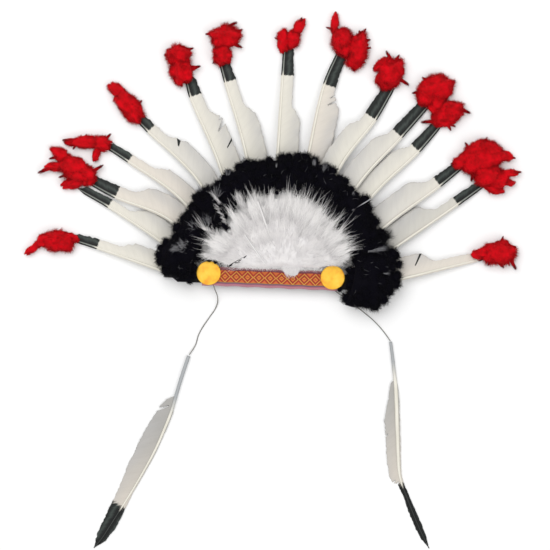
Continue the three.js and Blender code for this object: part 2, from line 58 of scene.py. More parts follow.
def linear(hexColour):
    # sRGB hex to linear, with alpha
    channels = [int(hexColour[i:i + 2], 16) / 255 for i in (1, 3, 5)]
    return tuple(c / 12.92 if c <= 0.04045 else ((c + 0.055) / 1.055) ** 2.4 for c in channels) + (1,)


def addNode(tree, kind, inputs=None, stops=None, **settings):
    # a node with its settings; an input is a number, a colour or another node's socket
    # (where a Mix is set to RGBA, inputs 6 and 7 are its colours and output 2 is the result)
    node = tree.nodes.new("ShaderNode" + kind)
    for name, value in settings.items():
        setattr(node, name, value)
    for key, value in (inputs or {}).items():
        if isinstance(value, bpy.types.NodeSocket):
            tree.links.new(value, node.inputs[key])
        else:
            node.inputs[key].default_value = value
    if stops:
        ramp = node.color_ramp
        while len(ramp.elements) < len(stops):
            ramp.elements.new(1)
        for element, (position, colour) in zip(ramp.elements, stops):
            element.position = position
            element.color = linear(colour) if isinstance(colour, str) else (colour, colour, colour, 1)
    return node


def newMaterial(name):
    # a material with an empty node tree and its Principled shader
    material = bpy.data.materials.new(name)
    material.use_nodes = True
    tree = material.node_tree
    tree.nodes.clear()
    shader = addNode(tree, "BsdfPrincipled")
    addNode(tree, "OutputMaterial", {"Surface": shader.outputs["BSDF"]})
    return material, tree, shader


def finishSurface(tree, shader, colour, height, relief, values):
    # links the colour and a fine relief (strength, depth in mm), and sets the shader's own values
    bump = addNode(tree, "Bump", {"Height": height, "Strength": relief[0], "Distance": relief[1] * mm})
    tree.links.new(colour, shader.inputs["Base Color"])
    tree.links.new(bump.outputs["Normal"], shader.inputs["Normal"])
    for key, value in values.items():
        shader.inputs[key].default_value = value


def addObject(name, data):
    # a new object at the origin, linked to the scene
    piece = bpy.data.objects.new(name, data)
    bpy.context.scene.collection.objects.link(piece)
    return piece


def meshFrom(bm, name):
    mesh = bpy.data.meshes.new(name)
    bm.to_mesh(mesh)
    bm.free()
    return mesh


def finishPiece(name, data, node, materials):
    # one object that stands for a CAD node
    for material in materials:
        data.materials.append(material)
    piece = addObject(name, data)
    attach(piece, "root")
    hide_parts(node)
    return piece


def smoothStep(low, high, value):
    t = np.clip((value - low) / (high - low), 0, 1)
    return t * t * (3 - 2 * t)


def unit(vectors):
    return vectors / np.linalg.norm(vectors, axis=-1, keepdims=True)


def curvePoint(points, t):
    # centripetal Catmull-Rom through the points, t counts the stretches between them
    i = min(int(t), len(points) - 2)
    f = t - i
    p1, p2 = points[i], points[i + 1]
    p0 = points[i - 1] if i > 0 else 2 * p1 - p2
    p3 = points[i + 2] if i + 2 < len(points) else 2 * p2 - p1
    d0, d1, d2 = (math.sqrt(np.linalg.norm(b - a)) for a, b in ((p0, p1), (p1, p2), (p2, p3)))
    m1 = ((p1 - p0) / d0 - (p2 - p0) / (d0 + d1) + (p2 - p1) / d1) * d1
    m2 = ((p2 - p1) / d1 - (p3 - p1) / (d1 + d2) + (p3 - p2) / d2) * d1
    a = 2 * p1 - 2 * p2 + m1 + m2
    b = -3 * p1 + 3 * p2 - 2 * m1 - m2
    return p1 + m1 * f + b * f * f + a * f ** 3


def sampleCurve(points, perStretch):
    points = [np.array(p, float) for p in points]
    count = (len(points) - 1) * perStretch + 1
    return np.array([curvePoint(points, i / perStretch) for i in range(count)])


# metres; the view is as wide as width at the height of plane
stage = {"height": 3.0, "plane": 0.008, "width": 0.6325, "aim": (0.00575, 0.0029), "sensor": 36,
         "farClip": 20, "floorSize": 6, "paper": ("#f4f4f4", "#f7f7f7"), "speck": 40,
         "worldLight": 0.62}
lamps = {   # place, size across and power
    "keyLight": ((-0.7, 0.9, 2.2), 2.4, 34),
    "fillLight": ((1.2, -0.8, 1.6), 1.6, 10),
}


def buildStage():
    data = bpy.data.cameras.new("camera")
    data.sensor_width = stage["sensor"]
    data.lens = stage["sensor"] * (stage["height"] - stage["plane"]) / stage["width"]
    data.clip_end = stage["farClip"]
    camera = addObject("camera", data)
    camera.location = (*stage["aim"], stage["height"])   # looks straight down, +Y up
    bpy.context.scene.camera = camera

    bm = bmesh.new()
    bmesh.ops.create_grid(bm, x_segments=2, y_segments=2, size=stage["floorSize"] / 2)
    mesh = meshFrom(bm, "floor")
    material, tree, shader = newMaterial("whitePaper")   # matt white paper, no gloss
    speck = addNode(tree, "TexNoise", {"Scale": stage["speck"]})
    tone = addNode(tree, "ValToRGB", {"Fac": speck.outputs["Fac"]},
                   stops=[(0.3, stage["paper"][0]), (0.7, stage["paper"][1])])
    tree.links.new(tone.outputs["Color"], shader.inputs["Base Color"])
    shader.inputs["Roughness"].default_value = 0.9
    shader.inputs["Specular IOR Level"].default_value = 0.1
    mesh.materials.append(material)
    addObject("floor", mesh)

    for name, (place, size, power) in lamps.items():
        light = bpy.data.lights.new(name, "AREA")
        light.shape = "DISK"
        light.size = size
        light.energy = power
        lamp = addObject(name, light)
        lamp.location = place
        lamp.rotation_euler = (-Vector(place)).to_track_quat("-Z", "Y").to_euler()
    world = bpy.data.worlds.new("studio")
    world.use_nodes = True
    background = world.node_tree.nodes["Background"]
    background.inputs["Color"].default_value = (1, 1, 1, 1)
    background.inputs["Strength"].default_value = stage["worldLight"]
    bpy.context.scene.world = world
    bpy.context.scene.view_settings.view_transform = "Standard"


buildStage()
print("stage done")


threadSpec = {"radius": 0.55, "perStretch": 3, "roundness": 2, "dark": "#5b5853", "lit": "#8d8a84",
              "twist": 700}   # twist lines half a millimetre apart
threadRoutes = {
    "thread_left": [
        (-66, -4, 10.4), (-65, -8.5, 10.3), (-63.5, -13.5, 9.5), (-61.4, -18.5, 7),
        (-60.2, -24, 3.8), (-60.9, -30.5, 1.6), (-63.5, -36.8, 0.8), (-67.9, -43.1, 0.7),
        (-72, -49, 0.7), (-75.9, -54.6, 0.7), (-79.6, -60.6, 0.7), (-82.8, -67.3, 0.7),
        (-85.4, -76.5, 0.8), (-89, -83, 1.3), (-93.2, -89, 2.1)],
    "thread_right": [
        (69.5, -4, 10.4), (70.5, -8.5, 10.3), (73.3, -13.5, 9.9), (79, -18.5, 8.3),
        (86.3, -23.8, 5.6), (93, -29, 3.2), (99, -33.4, 1.6), (104.7, -37.4, 0.8),
        (111, -42.5, 0.7), (117.3, -47.7, 0.7), (123.7, -54, 0.7), (129.4, -60.4, 0.7),
        (134, -66.4, 1.1), (138.4, -72.8, 2.1)],
}


def makeThreadMaterial():
    # waxed cotton thread: dull, with a twist that shows as fine slanted lines of painted light and shade
    spec = threadSpec
    material, tree, shader = newMaterial("waxedCottonThread")
    place = addNode(tree, "TexCoord")
    twist = addNode(tree, "TexWave",
                    {"Vector": place.outputs["Object"], "Scale": spec["twist"], "Distortion": 2},
                    bands_direction="DIAGONAL")
    # painted light and shade: the twist's bands alternate between the lit and the dark tone
    tone = addNode(tree, "ValToRGB", {"Fac": twist.outputs["Fac"]},
                   stops=[(0.2, spec["dark"]), (0.9, spec["lit"])])
    finishSurface(tree, shader, tone.outputs["Color"], twist.outputs["Fac"], (0.4, 0.2), {"Roughness": 0.6})
    return material


def buildThreads():
    spec = threadSpec
    material = makeThreadMaterial()
    for node, route in threadRoutes.items():
        samples = sampleCurve(route, spec["perStretch"]) * mm
        curve = bpy.data.curves.new(node + "_line", "CURVE")
        curve.dimensions = "3D"
        curve.bevel_depth = spec["radius"] * mm
        curve.bevel_resolution = spec["roundness"]
        curve.use_fill_caps = True
        line = curve.splines.new("POLY")
        line.points.add(len(samples) - 1)
        for point, place in zip(line.points, samples):
            point.co = (*place, 1)
        piece = finishPiece("cotton_" + node, curve, node, [material])


buildThreads()
print("threads done")


featherSpec = {"quillZ": 10.4, "edgeZ": 9.4, "darkZ": 5, "endZ": 1.8, "tipZ": 0.9, "tipLength": 12,
               "lead": 1.8, "leadEnd": 0.4, "slope": 0.45, "barbLean": 0.8, "rowStep": 1.3, "columns": 12,
               "leadColumns": 3, "thickness": 0.35, "raggedness": 0.45, "wave": 0.25, "stepHalf": 11,
               "vaneStart": 40, "narrowing": 0.15, "fanRadii": (1.6, 1.5, 1.0, 0.65, 0.4),
               "shaftSides": 8, "shaftStep": 3.2, "droop": 0.6, "nickAcross": 0.6, "nickReach": 9,
               "lowestVane": 0.5, "lowestShaft": 0.1, "vaneOver": 0.15}
# fan feathers from left to right: plan points along the shaft, vane widths, where the wide vane steps in
# side: where the narrow leading vane lies, -1 left or 1 right of the shaft, seen towards the tip
# nicks: distance, depth as a share of the vane, gap, and a mark that colours the nick dark instead of
# cutting it; lift raises a feather and dye moves its dye line
fanRows = [
    {"root": (-100, 0), "edge": (-132, 11), "dark": (-199, 34.5), "end": (-222, 42),
     "wide": 19, "narrow": 10, "stepAt": 38, "side": -1, "lift": 1.2},
    {"root": (-85, 4), "edge": (-118.5, 36), "dark": (-186, 82), "end": (-212, 97),
     "wide": 23, "narrow": 9, "stepAt": 48, "side": -1},
    {"root": (-71, 4), "edge": (-112, 64), "dark": (-178, 93), "end": (-205, 107.5),
     "wide": 24, "narrow": 13, "stepAt": 44, "side": -1, "lift": 1},
    {"root": (-57, 4), "edge": (-95.5, 83), "dark": (-163, 134), "end": (-184, 148),
     "wide": 18, "narrow": 9, "stepAt": 48, "side": -1},
    {"root": (-43, 4), "edge": (-78, 105), "dark": (-140, 168.5), "end": (-151, 180),
     "wide": 21, "narrow": 10.8, "stepAt": 58, "side": -1, "nicks": [(54, 0.42, 4.5, "dark")]},
    {"root": (-29, 4), "edge": (-55, 121), "dark": (-91, 208), "end": (-95.5, 225),
     "wide": 24, "narrow": 13, "stepAt": 64, "side": -1,
     "nicks": [(46, 0.5, 5), (52, 0.2, 1.5), (24, 0.4, 1.4, "dark")]},
    {"root": (-14, 4), "edge": (-25, 130.5), "dark": (-51, 225), "end": (-56, 244),
     "wide": 23.5, "narrow": 12.5, "stepAt": 60, "side": -1},
    {"root": (2, 4), "edge": (9, 137), "dark": (15, 233), "end": (17, 262),
     "wide": 23, "narrow": 12.3, "stepAt": 54, "side": -1},
    {"root": (20, 4), "edge": (45, 144), "dark": (63, 222.5), "end": (77, 255),
     "wide": 24, "narrow": 13.5, "stepAt": 64, "side": -1, "nicks": [(62, 0.5, 2.4), (70, 0.3, 1.2)]},
    {"root": (36, 4), "edge": (79, 125), "dark": (121, 182), "end": (139, 213),
     "wide": 21.5, "narrow": 14, "stepAt": 52, "side": 1, "lift": 1, "flat": True},
    {"root": (49, 4), "edge": (100, 105), "dark": (151, 162), "end": (179, 194),
     "wide": 22, "narrow": 13.5, "stepAt": 62, "side": 1, "lift": 0.6},
    {"root": (62, 4), "edge": (115, 91), "dark": (171, 145.5), "end": (193, 171),
     "wide": 20, "narrow": 12, "stepAt": 66, "side": 1},
    {"root": (76, 4), "edge": (131, 58), "dark": (195.5, 106), "end": (218.5, 125),
     "wide": 24, "narrow": 12, "stepAt": 62, "side": 1, "lift": 1},
    {"root": (96, 3), "edge": (144, 35), "dark": (216, 84.5), "end": (243, 104),
     "wide": 25, "narrow": 9.5, "stepAt": 54, "side": 1},
    {"root": (113, -9), "edge": (152, -1), "dark": (215, 14.5), "end": (241.5, 21),
     "wide": 24, "narrow": 10, "stepAt": 34, "side": 1, "lift": 1.2,
     "nicks": [(22, 0.6, 1.8, "dark")], "dye": 26},
]
fanTones = {3: "rosy", 4: "rosy", 5: "cool", 9: "rosy", 11: "cool", 13: "cool", 14: "dusky", 15: "rosy"}
# rows from the quill's end to the tip: x, y, shaft radius, wide vane, narrow vane
# darkRow: the row where the dye starts; nicks are placed by row
hangingRows = {
    "hanging_feather_left": {"darkRow": 9, "rows": [
        (-93.7, -90.3, 2, 0, 0), (-100, -108.7, 2, 0, 0), (-107.5, -133, 1.9, 0, 0),
        (-110, -142, 1.9, 9, 0), (-113.5, -154, 1.8, 15, 2.2), (-123, -177.7, 1.6, 19.5, 2.2),
        (-133.4, -200.7, 1.4, 21, 2), (-146, -223.7, 1.2, 19.5, 2), (-159.5, -246.7, 1, 15.5, 2),
        (-171, -265, 0.9, 12.5, 4.5), (-183, -284, 0.8, 10.5, 7), (-193.5, -300, 0.7, 7.5, 5.5),
        (-203, -311.7, 0.5, 0, 0)], "nicks": [(3.3, 0.75, 3)]},
    "hanging_feather_right": {"darkRow": 10, "rows": [
        (139, -74, 1.7, 0, 0), (141, -90.3, 1.8, 0, 0), (143.6, -114, 2, 0, 0),
        (144.6, -123, 2.2, 6.5, 2.5), (145.5, -141, 2.4, 9.5, 3.5), (146.2, -164, 2.4, 14.5, 3.5),
        (146.9, -184, 2.2, 13.5, 3.5), (147.6, -206, 2, 13, 3.2), (149, -226, 1.6, 12, 2.5),
        (151, -235, 1.2, 10, 2.6), (151.7, -238, 1, 4, 2.8), (156, -249, 0.9, 3.4, 3.4),
        (162.2, -265, 0.8, 4, 4), (170.2, -284.6, 0.7, 4.3, 4.3), (177.1, -299.6, 0.6, 3.5, 3.5),
        (183.4, -312.2, 0.5, 0, 0)],
        "nicks": [(5.4, 0.25, 1.2), (8.3, 0.4, 1.5), (8.8, 0.6, 1.5)]},
}
vaneLook = {   # noise scales are per metre, distances are from the dye line or the shaft in metres
    "barbs": (900, 60, 1),   # lines about 1 mm apart, real barbs are 0.4 mm and wouldn't show
    "clouds": (140, 40, 1),   # cloudy bands 7 mm wide
    "patches": 55,   # patches of painted shade, 18 mm
    # dusk: grey of the painted shade towards the wide vane's outer edge, over duskSpan from the shaft
    "fade": (-0.1, -0.01), "dusk": "#b3b2b2", "duskSpan": (0.005, 0.021), "dyeWidth": 0.012,
    "dye": [(0.22, "#040505"), (0.5, "#141817"), (0.75, "#3f4743"), (1.0, "#191e1c")]}
vaneTones = {   # material, colour by the quill, colour by the dye, how ragged the dye line is in metres
    "cream": ("creamFeatherVane", "#d8d4c9", "#dcd8cd", 0.006),
    "cool": ("coolFeatherVane", "#cdcac4", "#d8d4ca", 0.006),
    "rosy": ("rosyFeatherVane", "#d5cec4", "#dad3c8", 0.006),
    "grey": ("greyFeatherVane", "#a9a7a3", "#cbc4ba", 0.02),
    "dusky": ("duskyFeatherVane", "#c3c0b9", "#cbc8bf", 0.006)}
shaftLook = {"grain": (400, 30, 1),   # two or three streaks round the shaft, each 33 mm long
             "cream": ("#dcd8ca", "#ebe7dc"), "hollow": "#a3a6a8", "hollowSpan": (-0.118, -0.142),
             # rim: painted shade, how much colour is left at the shaft's sides
             "rim": 0.78}


def makeVaneMaterial(name, base, far, jag):
    # bleached turkey wing feather with a dyed tip: barbs give fine slanted lines and a soft sheen; painted
    # shade greys the wide vane in patches towards its outer edge
    look = vaneLook
    material, tree, shader = newMaterial(name)
    uv = addNode(tree, "UVMap", uv_map="feather")
    parts = addNode(tree, "SeparateXYZ", {"Vector": uv.outputs["UV"]})
    across, along = parts.outputs["X"], parts.outputs["Y"]   # both in metres, along from the dye line
    lean = addNode(tree, "Math", {0: across, 1: -featherSpec["barbLean"], 2: along},
                   operation="MULTIPLY_ADD")
    sheared = addNode(tree, "CombineXYZ", {"X": lean.outputs[0], "Y": across})
    barbs = addNode(tree, "Mapping", {"Vector": sheared.outputs[0], "Scale": look["barbs"]})
    lines = addNode(tree, "TexNoise", {"Vector": barbs.outputs[0], "Scale": 1, "Detail": 3})
    broad = addNode(tree, "Mapping", {"Vector": sheared.outputs[0], "Scale": look["clouds"]})
    bands = addNode(tree, "TexNoise", {"Vector": broad.outputs[0], "Scale": 1, "Detail": 2})
    fade = addNode(tree, "MapRange", {"Value": along, "From Min": look["fade"][0],
                                      "From Max": look["fade"][1]})
    tint = addNode(tree, "Mix", {"Factor": fade.outputs[0], 6: linear(base), 7: linear(far)},
                   data_type="RGBA")
    # painted shade: the outer part of the wide vane greys in patches
    outer = addNode(tree, "MapRange", {"Value": across, "From Min": look["duskSpan"][0],
                                       "From Max": look["duskSpan"][1], "To Max": 1.1})
    shadePatches = addNode(tree, "TexNoise", {"Vector": sheared.outputs[0], "Scale": look["patches"], "Detail": 1})
    dusk = addNode(tree, "Math", {0: outer.outputs[0], 1: shadePatches.outputs["Fac"]}, operation="MULTIPLY")
    shaded = addNode(tree, "Mix", {"Factor": dusk.outputs[0], 6: tint.outputs[2], 7: linear(look["dusk"])},
                     data_type="RGBA")
    cloudy = addNode(tree, "ValToRGB", {"Fac": bands.outputs["Fac"]}, stops=[(0.25, 0.95), (0.6, 1.0)])
    pale = addNode(tree, "Mix", {"Factor": 1.0, 6: shaded.outputs[2], 7: cloudy.outputs["Color"]},
                   data_type="RGBA", blend_type="MULTIPLY")
    streak = addNode(tree, "ValToRGB", {"Fac": lines.outputs["Fac"]}, stops=[(0.3, 0.965), (0.6, 1.0)])
    cream = addNode(tree, "Mix", {"Factor": 1.0, 6: pale.outputs[2], 7: streak.outputs["Color"]},
                    data_type="RGBA", blend_type="MULTIPLY")
    dyeSpan = addNode(tree, "MapRange", {"Value": across, "From Max": look["dyeWidth"]})
    dyeCloud = addNode(tree, "Math", {0: bands.outputs["Fac"], 1: 0.5, 2: dyeSpan.outputs[0]},
                       operation="MULTIPLY_ADD")
    dye = addNode(tree, "ValToRGB", {"Fac": dyeCloud.outputs[0]}, stops=look["dye"])
    dyeLines = addNode(tree, "ValToRGB", {"Fac": lines.outputs["Fac"]}, stops=[(0.3, 0.6), (0.65, 1.0)])
    dark = addNode(tree, "Mix", {"Factor": 1.0, 6: dye.outputs["Color"], 7: dyeLines.outputs["Color"]},
                   data_type="RGBA", blend_type="MULTIPLY")
    ragged = addNode(tree, "Math", {0: lines.outputs["Fac"], 1: jag, 2: along}, operation="MULTIPLY_ADD")
    dyed = addNode(tree, "MapRange", {"Value": ragged.outputs[0], "From Min": 0.45 * jag,
                                      "From Max": 0.45 * jag + 0.001})
    colour = addNode(tree, "Mix", {"Factor": dyed.outputs[0], 6: cream.outputs[2], 7: dark.outputs[2]},
                     data_type="RGBA")
    finishSurface(tree, shader, colour.outputs[2], lines.outputs["Fac"], (0.35, 0.4),
                  {"Roughness": 0.55, "Specular IOR Level": 0.25, "Sheen Weight": 0.06})
    return material


def makeShaftMaterial(name, dyed):
    # keratin shaft: smooth, waxy, cream in the middle and greyer towards both ends, with painted shade on
    # the tube's sides
    look = shaftLook
    material, tree, shader = newMaterial(name)
    uv = addNode(tree, "UVMap", uv_map="feather")
    parts = addNode(tree, "SeparateXYZ", {"Vector": uv.outputs["UV"]})   # turn / 1000, metres from the dye
    stretched = addNode(tree, "Mapping", {"Vector": uv.outputs["UV"], "Scale": look["grain"]})
    grain = addNode(tree, "TexNoise", {"Vector": stretched.outputs[0], "Scale": 1, "Detail": 2})
    cream = addNode(tree, "ValToRGB", {"Fac": grain.outputs["Fac"]},
                    stops=[(0.3, look["cream"][0]), (0.7, look["cream"][1])])
    shade = addNode(tree, "MapRange", {"Value": parts.outputs["Y"], "From Min": 0.0, "From Max": 0.006})
    colour = addNode(tree, "Mix", {"Factor": shade.outputs[0], 6: cream.outputs["Color"], 7: linear(dyed)},
                     data_type="RGBA")
    hollow = addNode(tree, "MapRange", {"Value": parts.outputs["Y"], "From Min": look["hollowSpan"][0],
                                        "From Max": look["hollowSpan"][1]})
    quill = addNode(tree, "Mix", {"Factor": hollow.outputs[0], 6: colour.outputs[2],
                                  7: linear(look["hollow"])}, data_type="RGBA")
    # painted shade: the tube's sides are darkened by how they face, down to rim
    turn = addNode(tree, "Math", {0: parts.outputs["X"], 1: 1000}, operation="MULTIPLY")
    sideways = addNode(tree, "Math", {0: turn.outputs[0]}, operation="COSINE")
    edge = addNode(tree, "Math", {0: sideways.outputs[0]}, operation="ABSOLUTE")
    rim = addNode(tree, "MapRange", {"Value": edge.outputs[0], "From Min": 0.6, "From Max": 1.0,
                                     "To Min": 1.0, "To Max": look["rim"]})
    shaded = addNode(tree, "Mix", {"Factor": 1.0, 6: quill.outputs[2], 7: rim.outputs[0]},
                     data_type="RGBA", blend_type="MULTIPLY")
    finishSurface(tree, shader, shaded.outputs[2], grain.outputs["Fac"], (0.15, 0.3), {"Roughness": 0.35})
    return material


class FeatherLine:
    # a feather's centre line in millimetres, read by the distance along it
    def __init__(self, points, perStretch, dyeStop, dyeShift=0):
        self.samples = sampleCurve(points, perStretch)
        steps = np.linalg.norm(np.diff(self.samples, axis=0), axis=1)
        self.lengths = np.concatenate([[0], np.cumsum(steps)])
        self.stops = self.lengths[::perStretch]   # where each point lies
        self.dyeAt = self.stops[dyeStop] + dyeShift
        flat = np.gradient(self.samples[:, :2], axis=0)
        flat /= np.linalg.norm(flat, axis=1)[:, None]
        self.right = np.stack([flat[:, 1], -flat[:, 0]], axis=1)
        self.total = self.lengths[-1]

    def at(self, s):
        place = np.stack([np.interp(s, self.lengths, self.samples[:, k]) for k in range(3)], axis=-1)
        side = np.stack([np.interp(s, self.lengths, self.right[:, k]) for k in range(2)], axis=-1)
        return place, side


def barbLength(widthAt, s, lean):
    # length across of the barb that leaves the shaft at s and leans towards the tip
    reach = np.arange(0, 32, 0.2)
    inside = reach[None, :] <= widthAt(s[:, None] + lean * reach[None, :])
    return reach[np.where(inside, np.arange(len(reach))[None, :], 0).max(axis=1)]


def addVane(bm, line, sideSign, widthAt, dropAt, span, nicks, rng, columns):
    # one side of the vane: a grid sheared along the barbs
    spec = featherSpec
    lean = spec["barbLean"]
    uvLayer = bm.loops.layers.uv["feather"]
    rows = int((span[1] - span[0]) / spec["rowStep"])
    s = np.linspace(*span, rows)
    width = barbLength(widthAt, s, lean)
    rough = np.convolve(rng.normal(0, 1, rows), [0.25, 0.5, 0.25], "same")
    width = np.maximum(width + spec["raggedness"] * rough * smoothStep(1, 5, width), 0.2)
    grid = bmesh.ops.create_grid(bm, x_segments=columns, y_segments=rows - 1, size=1)
    verts = sorted(grid["verts"], key=lambda v: (round(v.co.y, 6), round(v.co.x, 6)))
    faces = {face for v in verts for face in v.link_faces}
    shareAcross = np.linspace(0, 1, columns + 1) ** 0.85
    across = width[:, None] * shareAcross[None, :]
    along = s[:, None] + lean * across
    cut, darkened = set(), set()
    for at, depth, gap, *dark in nicks:
        row = int(np.argmin(abs(s - at)))
        away = np.sign(np.arange(rows) - row + 0.5)
        near = np.exp(-((s - at) / spec["nickReach"]) ** 2)
        parted = np.clip((shareAcross - (1 - depth)) / depth, 0, 1)
        along = along + 0.5 * gap * away[:, None] * near[:, None] * parted[None, :]
        cells = darkened if dark else cut   # a dark nick keeps its cells and is coloured as dark as the dye, not cut
        cells |= {(row - 1, c) for c in range(columns) if shareAcross[c] >= 1 - depth}
    place, side = line.at(along)
    wave = spec["wave"] * np.sin(along / 7 + rng.uniform(0, 6)) * (across / 12)
    drop = dropAt(along) if callable(dropAt) else dropAt
    sag = drop * (across / np.maximum(widthAt(along), 1)) ** 1.3
    height = place[..., 2] + spec["vaneOver"] - sag + wave
    flat = place[..., :2] + side * (sideSign * across)[..., None]
    index = {}
    for i, v in enumerate(verts):
        row, column = divmod(i, columns + 1)
        index[v] = (row, column)
        v.co = Vector((*flat[row, column], max(height[row, column], spec["lowestVane"]))) * mm
    gone = []
    for face in faces:
        corners = [index[v] for v in face.verts]
        cell = (min(c[0] for c in corners), min(c[1] for c in corners))
        for loop in face.loops:
            row, column = index[loop.vert]
            dyedAt = 20 if cell in darkened else along[row, column] - line.dyeAt
            loop[uvLayer].uv = (across[row, column] * mm, dyedAt * mm)
        if cell in cut:
            gone.append(face)
    bmesh.ops.delete(bm, geom=gone, context="FACES")
    kept = [face for face in faces if face.is_valid]
    if kept[0].normal.z < 0:
        bmesh.ops.reverse_faces(bm, faces=kept)
    bm.normal_update()
    return kept


def addShaft(bm, line, radiusAt, span):
    # tapered tube: a circle extruded from station to station, closed at both ends
    spec = featherSpec
    uvLayer = bm.loops.layers.uv["feather"]
    count = max(int((span[1] - span[0]) / spec["shaftStep"]), 4)
    stations = np.linspace(*span, count)
    place, side = line.at(stations)
    ring = bmesh.ops.create_circle(bm, cap_ends=False, segments=spec["shaftSides"], radius=1)["verts"]
    edges = list({e for v in ring for e in v.link_edges})
    angles = {v: math.atan2(v.co.y, v.co.x) for v in ring}
    allFaces = []
    stationOf = {}

    def shape(verts, k):
        radius = radiusAt(stations[k])
        for v in verts:
            out = math.cos(angles[v]) * radius
            v.co = Vector((place[k][0] + side[k][0] * out, place[k][1] + side[k][1] * out,
                           max(place[k][2] + math.sin(angles[v]) * radius, spec["lowestShaft"]))) * mm
            stationOf[v] = k

    shape(ring, 0)
    first = sorted(ring, key=lambda v: angles[v])
    for k in range(1, count):
        made = bmesh.ops.extrude_edge_only(bm, edges=edges)["geom"]
        fresh = [g for g in made if isinstance(g, bmesh.types.BMVert)]
        allFaces += [g for g in made if isinstance(g, bmesh.types.BMFace)]
        edges = [g for g in made if isinstance(g, bmesh.types.BMEdge) and all(v in fresh for v in g.verts)]
        for v in fresh:
            mate = next(e.other_vert(v) for e in v.link_edges if e.other_vert(v) not in fresh)
            angles[v] = angles[mate]
        shape(fresh, k)
    allFaces.append(bm.faces.new(first))
    allFaces.append(bm.faces.new(sorted(fresh, key=lambda v: angles[v])))
    bmesh.ops.recalc_face_normals(bm, faces=allFaces)
    for face in allFaces:
        face.material_index = 1
        face.smooth = True
        for loop in face.loops:
            along = stations[stationOf[loop.vert]] - line.dyeAt
            loop[uvLayer].uv = (angles[loop.vert] * mm, along * mm)   # the turn at the same small scale


def featherMesh(name, line, profile, spans, side, nicks, seed):
    # both vanes, given their thickness, and the shaft; profile holds sizes by the distance along
    spec = featherSpec
    rng = np.random.default_rng(seed)
    bm = bmesh.new()
    bm.loops.layers.uv.new("feather")
    vanes = addVane(bm, line, -side, profile["wide"], profile["drop"], spans["vane"], nicks, rng,
                    spec["columns"])
    vanes += addVane(bm, line, side, profile["lead"], 0, spans["vane"], [], rng, spec["leadColumns"])
    sheet = bmesh.ops.extrude_face_region(bm, geom=vanes, use_keep_orig=True)["geom"]
    under = [g for g in sheet if isinstance(g, bmesh.types.BMVert)]
    bmesh.ops.translate(bm, verts=under, vec=(0, 0, -spec["thickness"] * mm))
    bmesh.ops.recalc_face_normals(bm, faces=bm.faces[:])
    for face in bm.faces:
        face.smooth = True
    addShaft(bm, line, profile["radius"], spans["shaft"])
    return meshFrom(bm, name)


def buildFanFeathers(vaneMaterials, shaftMaterial):
    spec = featherSpec
    for number, row in enumerate(fanRows, 1):
        lift = row.get("lift", 0)
        tip = np.array(row["end"]) + unit(np.subtract(row["end"], row["dark"])) * spec["tipLength"]
        line = FeatherLine([(*row["root"], spec["quillZ"]), (*row["edge"], spec["edgeZ"] + lift),
                            (*row["dark"], spec["darkZ"] + lift / 2), (*row["end"], spec["endZ"]),
                            (*tip, spec["tipZ"])], 40, 2, row.get("dye", 0))
        edgeAt, darkAt, endAt = line.stops[1:4]
        stepAt = edgeAt + row["stepAt"]

        def wideAt(s):
            rise = smoothStep(edgeAt - spec["vaneStart"] - 2, edgeAt - 2, s)
            step = smoothStep(stepAt - spec["stepHalf"], stepAt + spec["stepHalf"], s)
            narrow = row["narrow"] * (1 - spec["narrowing"] * smoothStep(darkAt, endAt, s))
            close = 1 - smoothStep(endAt, line.total + 1, s)
            return (row["wide"] * rise * (1 - step) + narrow * step) * close

        def leadAt(s):
            grown = smoothStep(edgeAt - spec["vaneStart"], edgeAt, s)
            grown = grown * (1 - smoothStep(endAt, line.total, s))
            return spec["lead"] * grown + spec["leadEnd"]

        def dropAt(s):
            height = np.interp(s, line.lengths, line.samples[:, 2])
            slope = 0 if row.get("flat") else spec["slope"]
            return slope * np.maximum(height - 1.2, 0) * wideAt(s) / row["wide"]

        def radiusAt(s):
            return float(np.interp(s, [0, edgeAt, darkAt, endAt, line.total], spec["fanRadii"]))

        lean = spec["barbLean"] * spec["nickAcross"] * row["wide"]   # its barb leaves the shaft lower
        nicks = [(edgeAt + at - lean, *rest) for at, *rest in row.get("nicks", [])]
        name = f"feather_{number:02d}"
        profile = {"wide": wideAt, "lead": leadAt, "drop": dropAt, "radius": radiusAt}
        spans = {"vane": (edgeAt - spec["vaneStart"], line.total - 1), "shaft": (0.3, line.total)}
        mesh = featherMesh(name, line, profile, spans, row["side"], nicks, 100 + number)
        vane = vaneMaterials[fanTones.get(number, "cream")]
        finishPiece(name, mesh, "fan_" + name, [vane, shaftMaterial])


def buildHangingFeathers(vaneMaterial, shaftMaterial):
    for number, (node, entry) in enumerate(hangingRows.items()):
        x, y, radii, wide, lead = np.array(entry["rows"], float).T
        line = FeatherLine(np.stack([x, y, radii + 0.05], axis=1), 16, entry["darkRow"])
        stops = line.stops

        def wideAt(s):
            return np.interp(s, stops, wide)

        def leadAt(s):
            return np.interp(s, stops, lead)

        def radiusAt(s):
            return float(np.interp(s, stops, radii))

        bare = int(np.argmax(wide > 0)) - 1
        nicks = [(float(np.interp(at, range(len(stops)), stops)), *rest) for at, *rest in entry["nicks"]]
        profile = {"wide": wideAt, "lead": leadAt, "drop": featherSpec["droop"], "radius": radiusAt}
        spans = {"vane": (stops[bare] + 3, line.total - 1), "shaft": (0, line.total)}
        mesh = featherMesh(node + "_mesh", line, profile, spans, -1, nicks, 300 + number)
        finishPiece("turkey_" + node, mesh, node, [vaneMaterial, shaftMaterial])


vaneMaterials = {key: makeVaneMaterial(*tones) for key, tones in vaneTones.items()}
buildFanFeathers(vaneMaterials, makeShaftMaterial("keratinShaft", "#7d827b"))
buildHangingFeathers(vaneMaterials["grey"], makeShaftMaterial("dyedKeratinShaft", "#232725"))
print("feathers done")


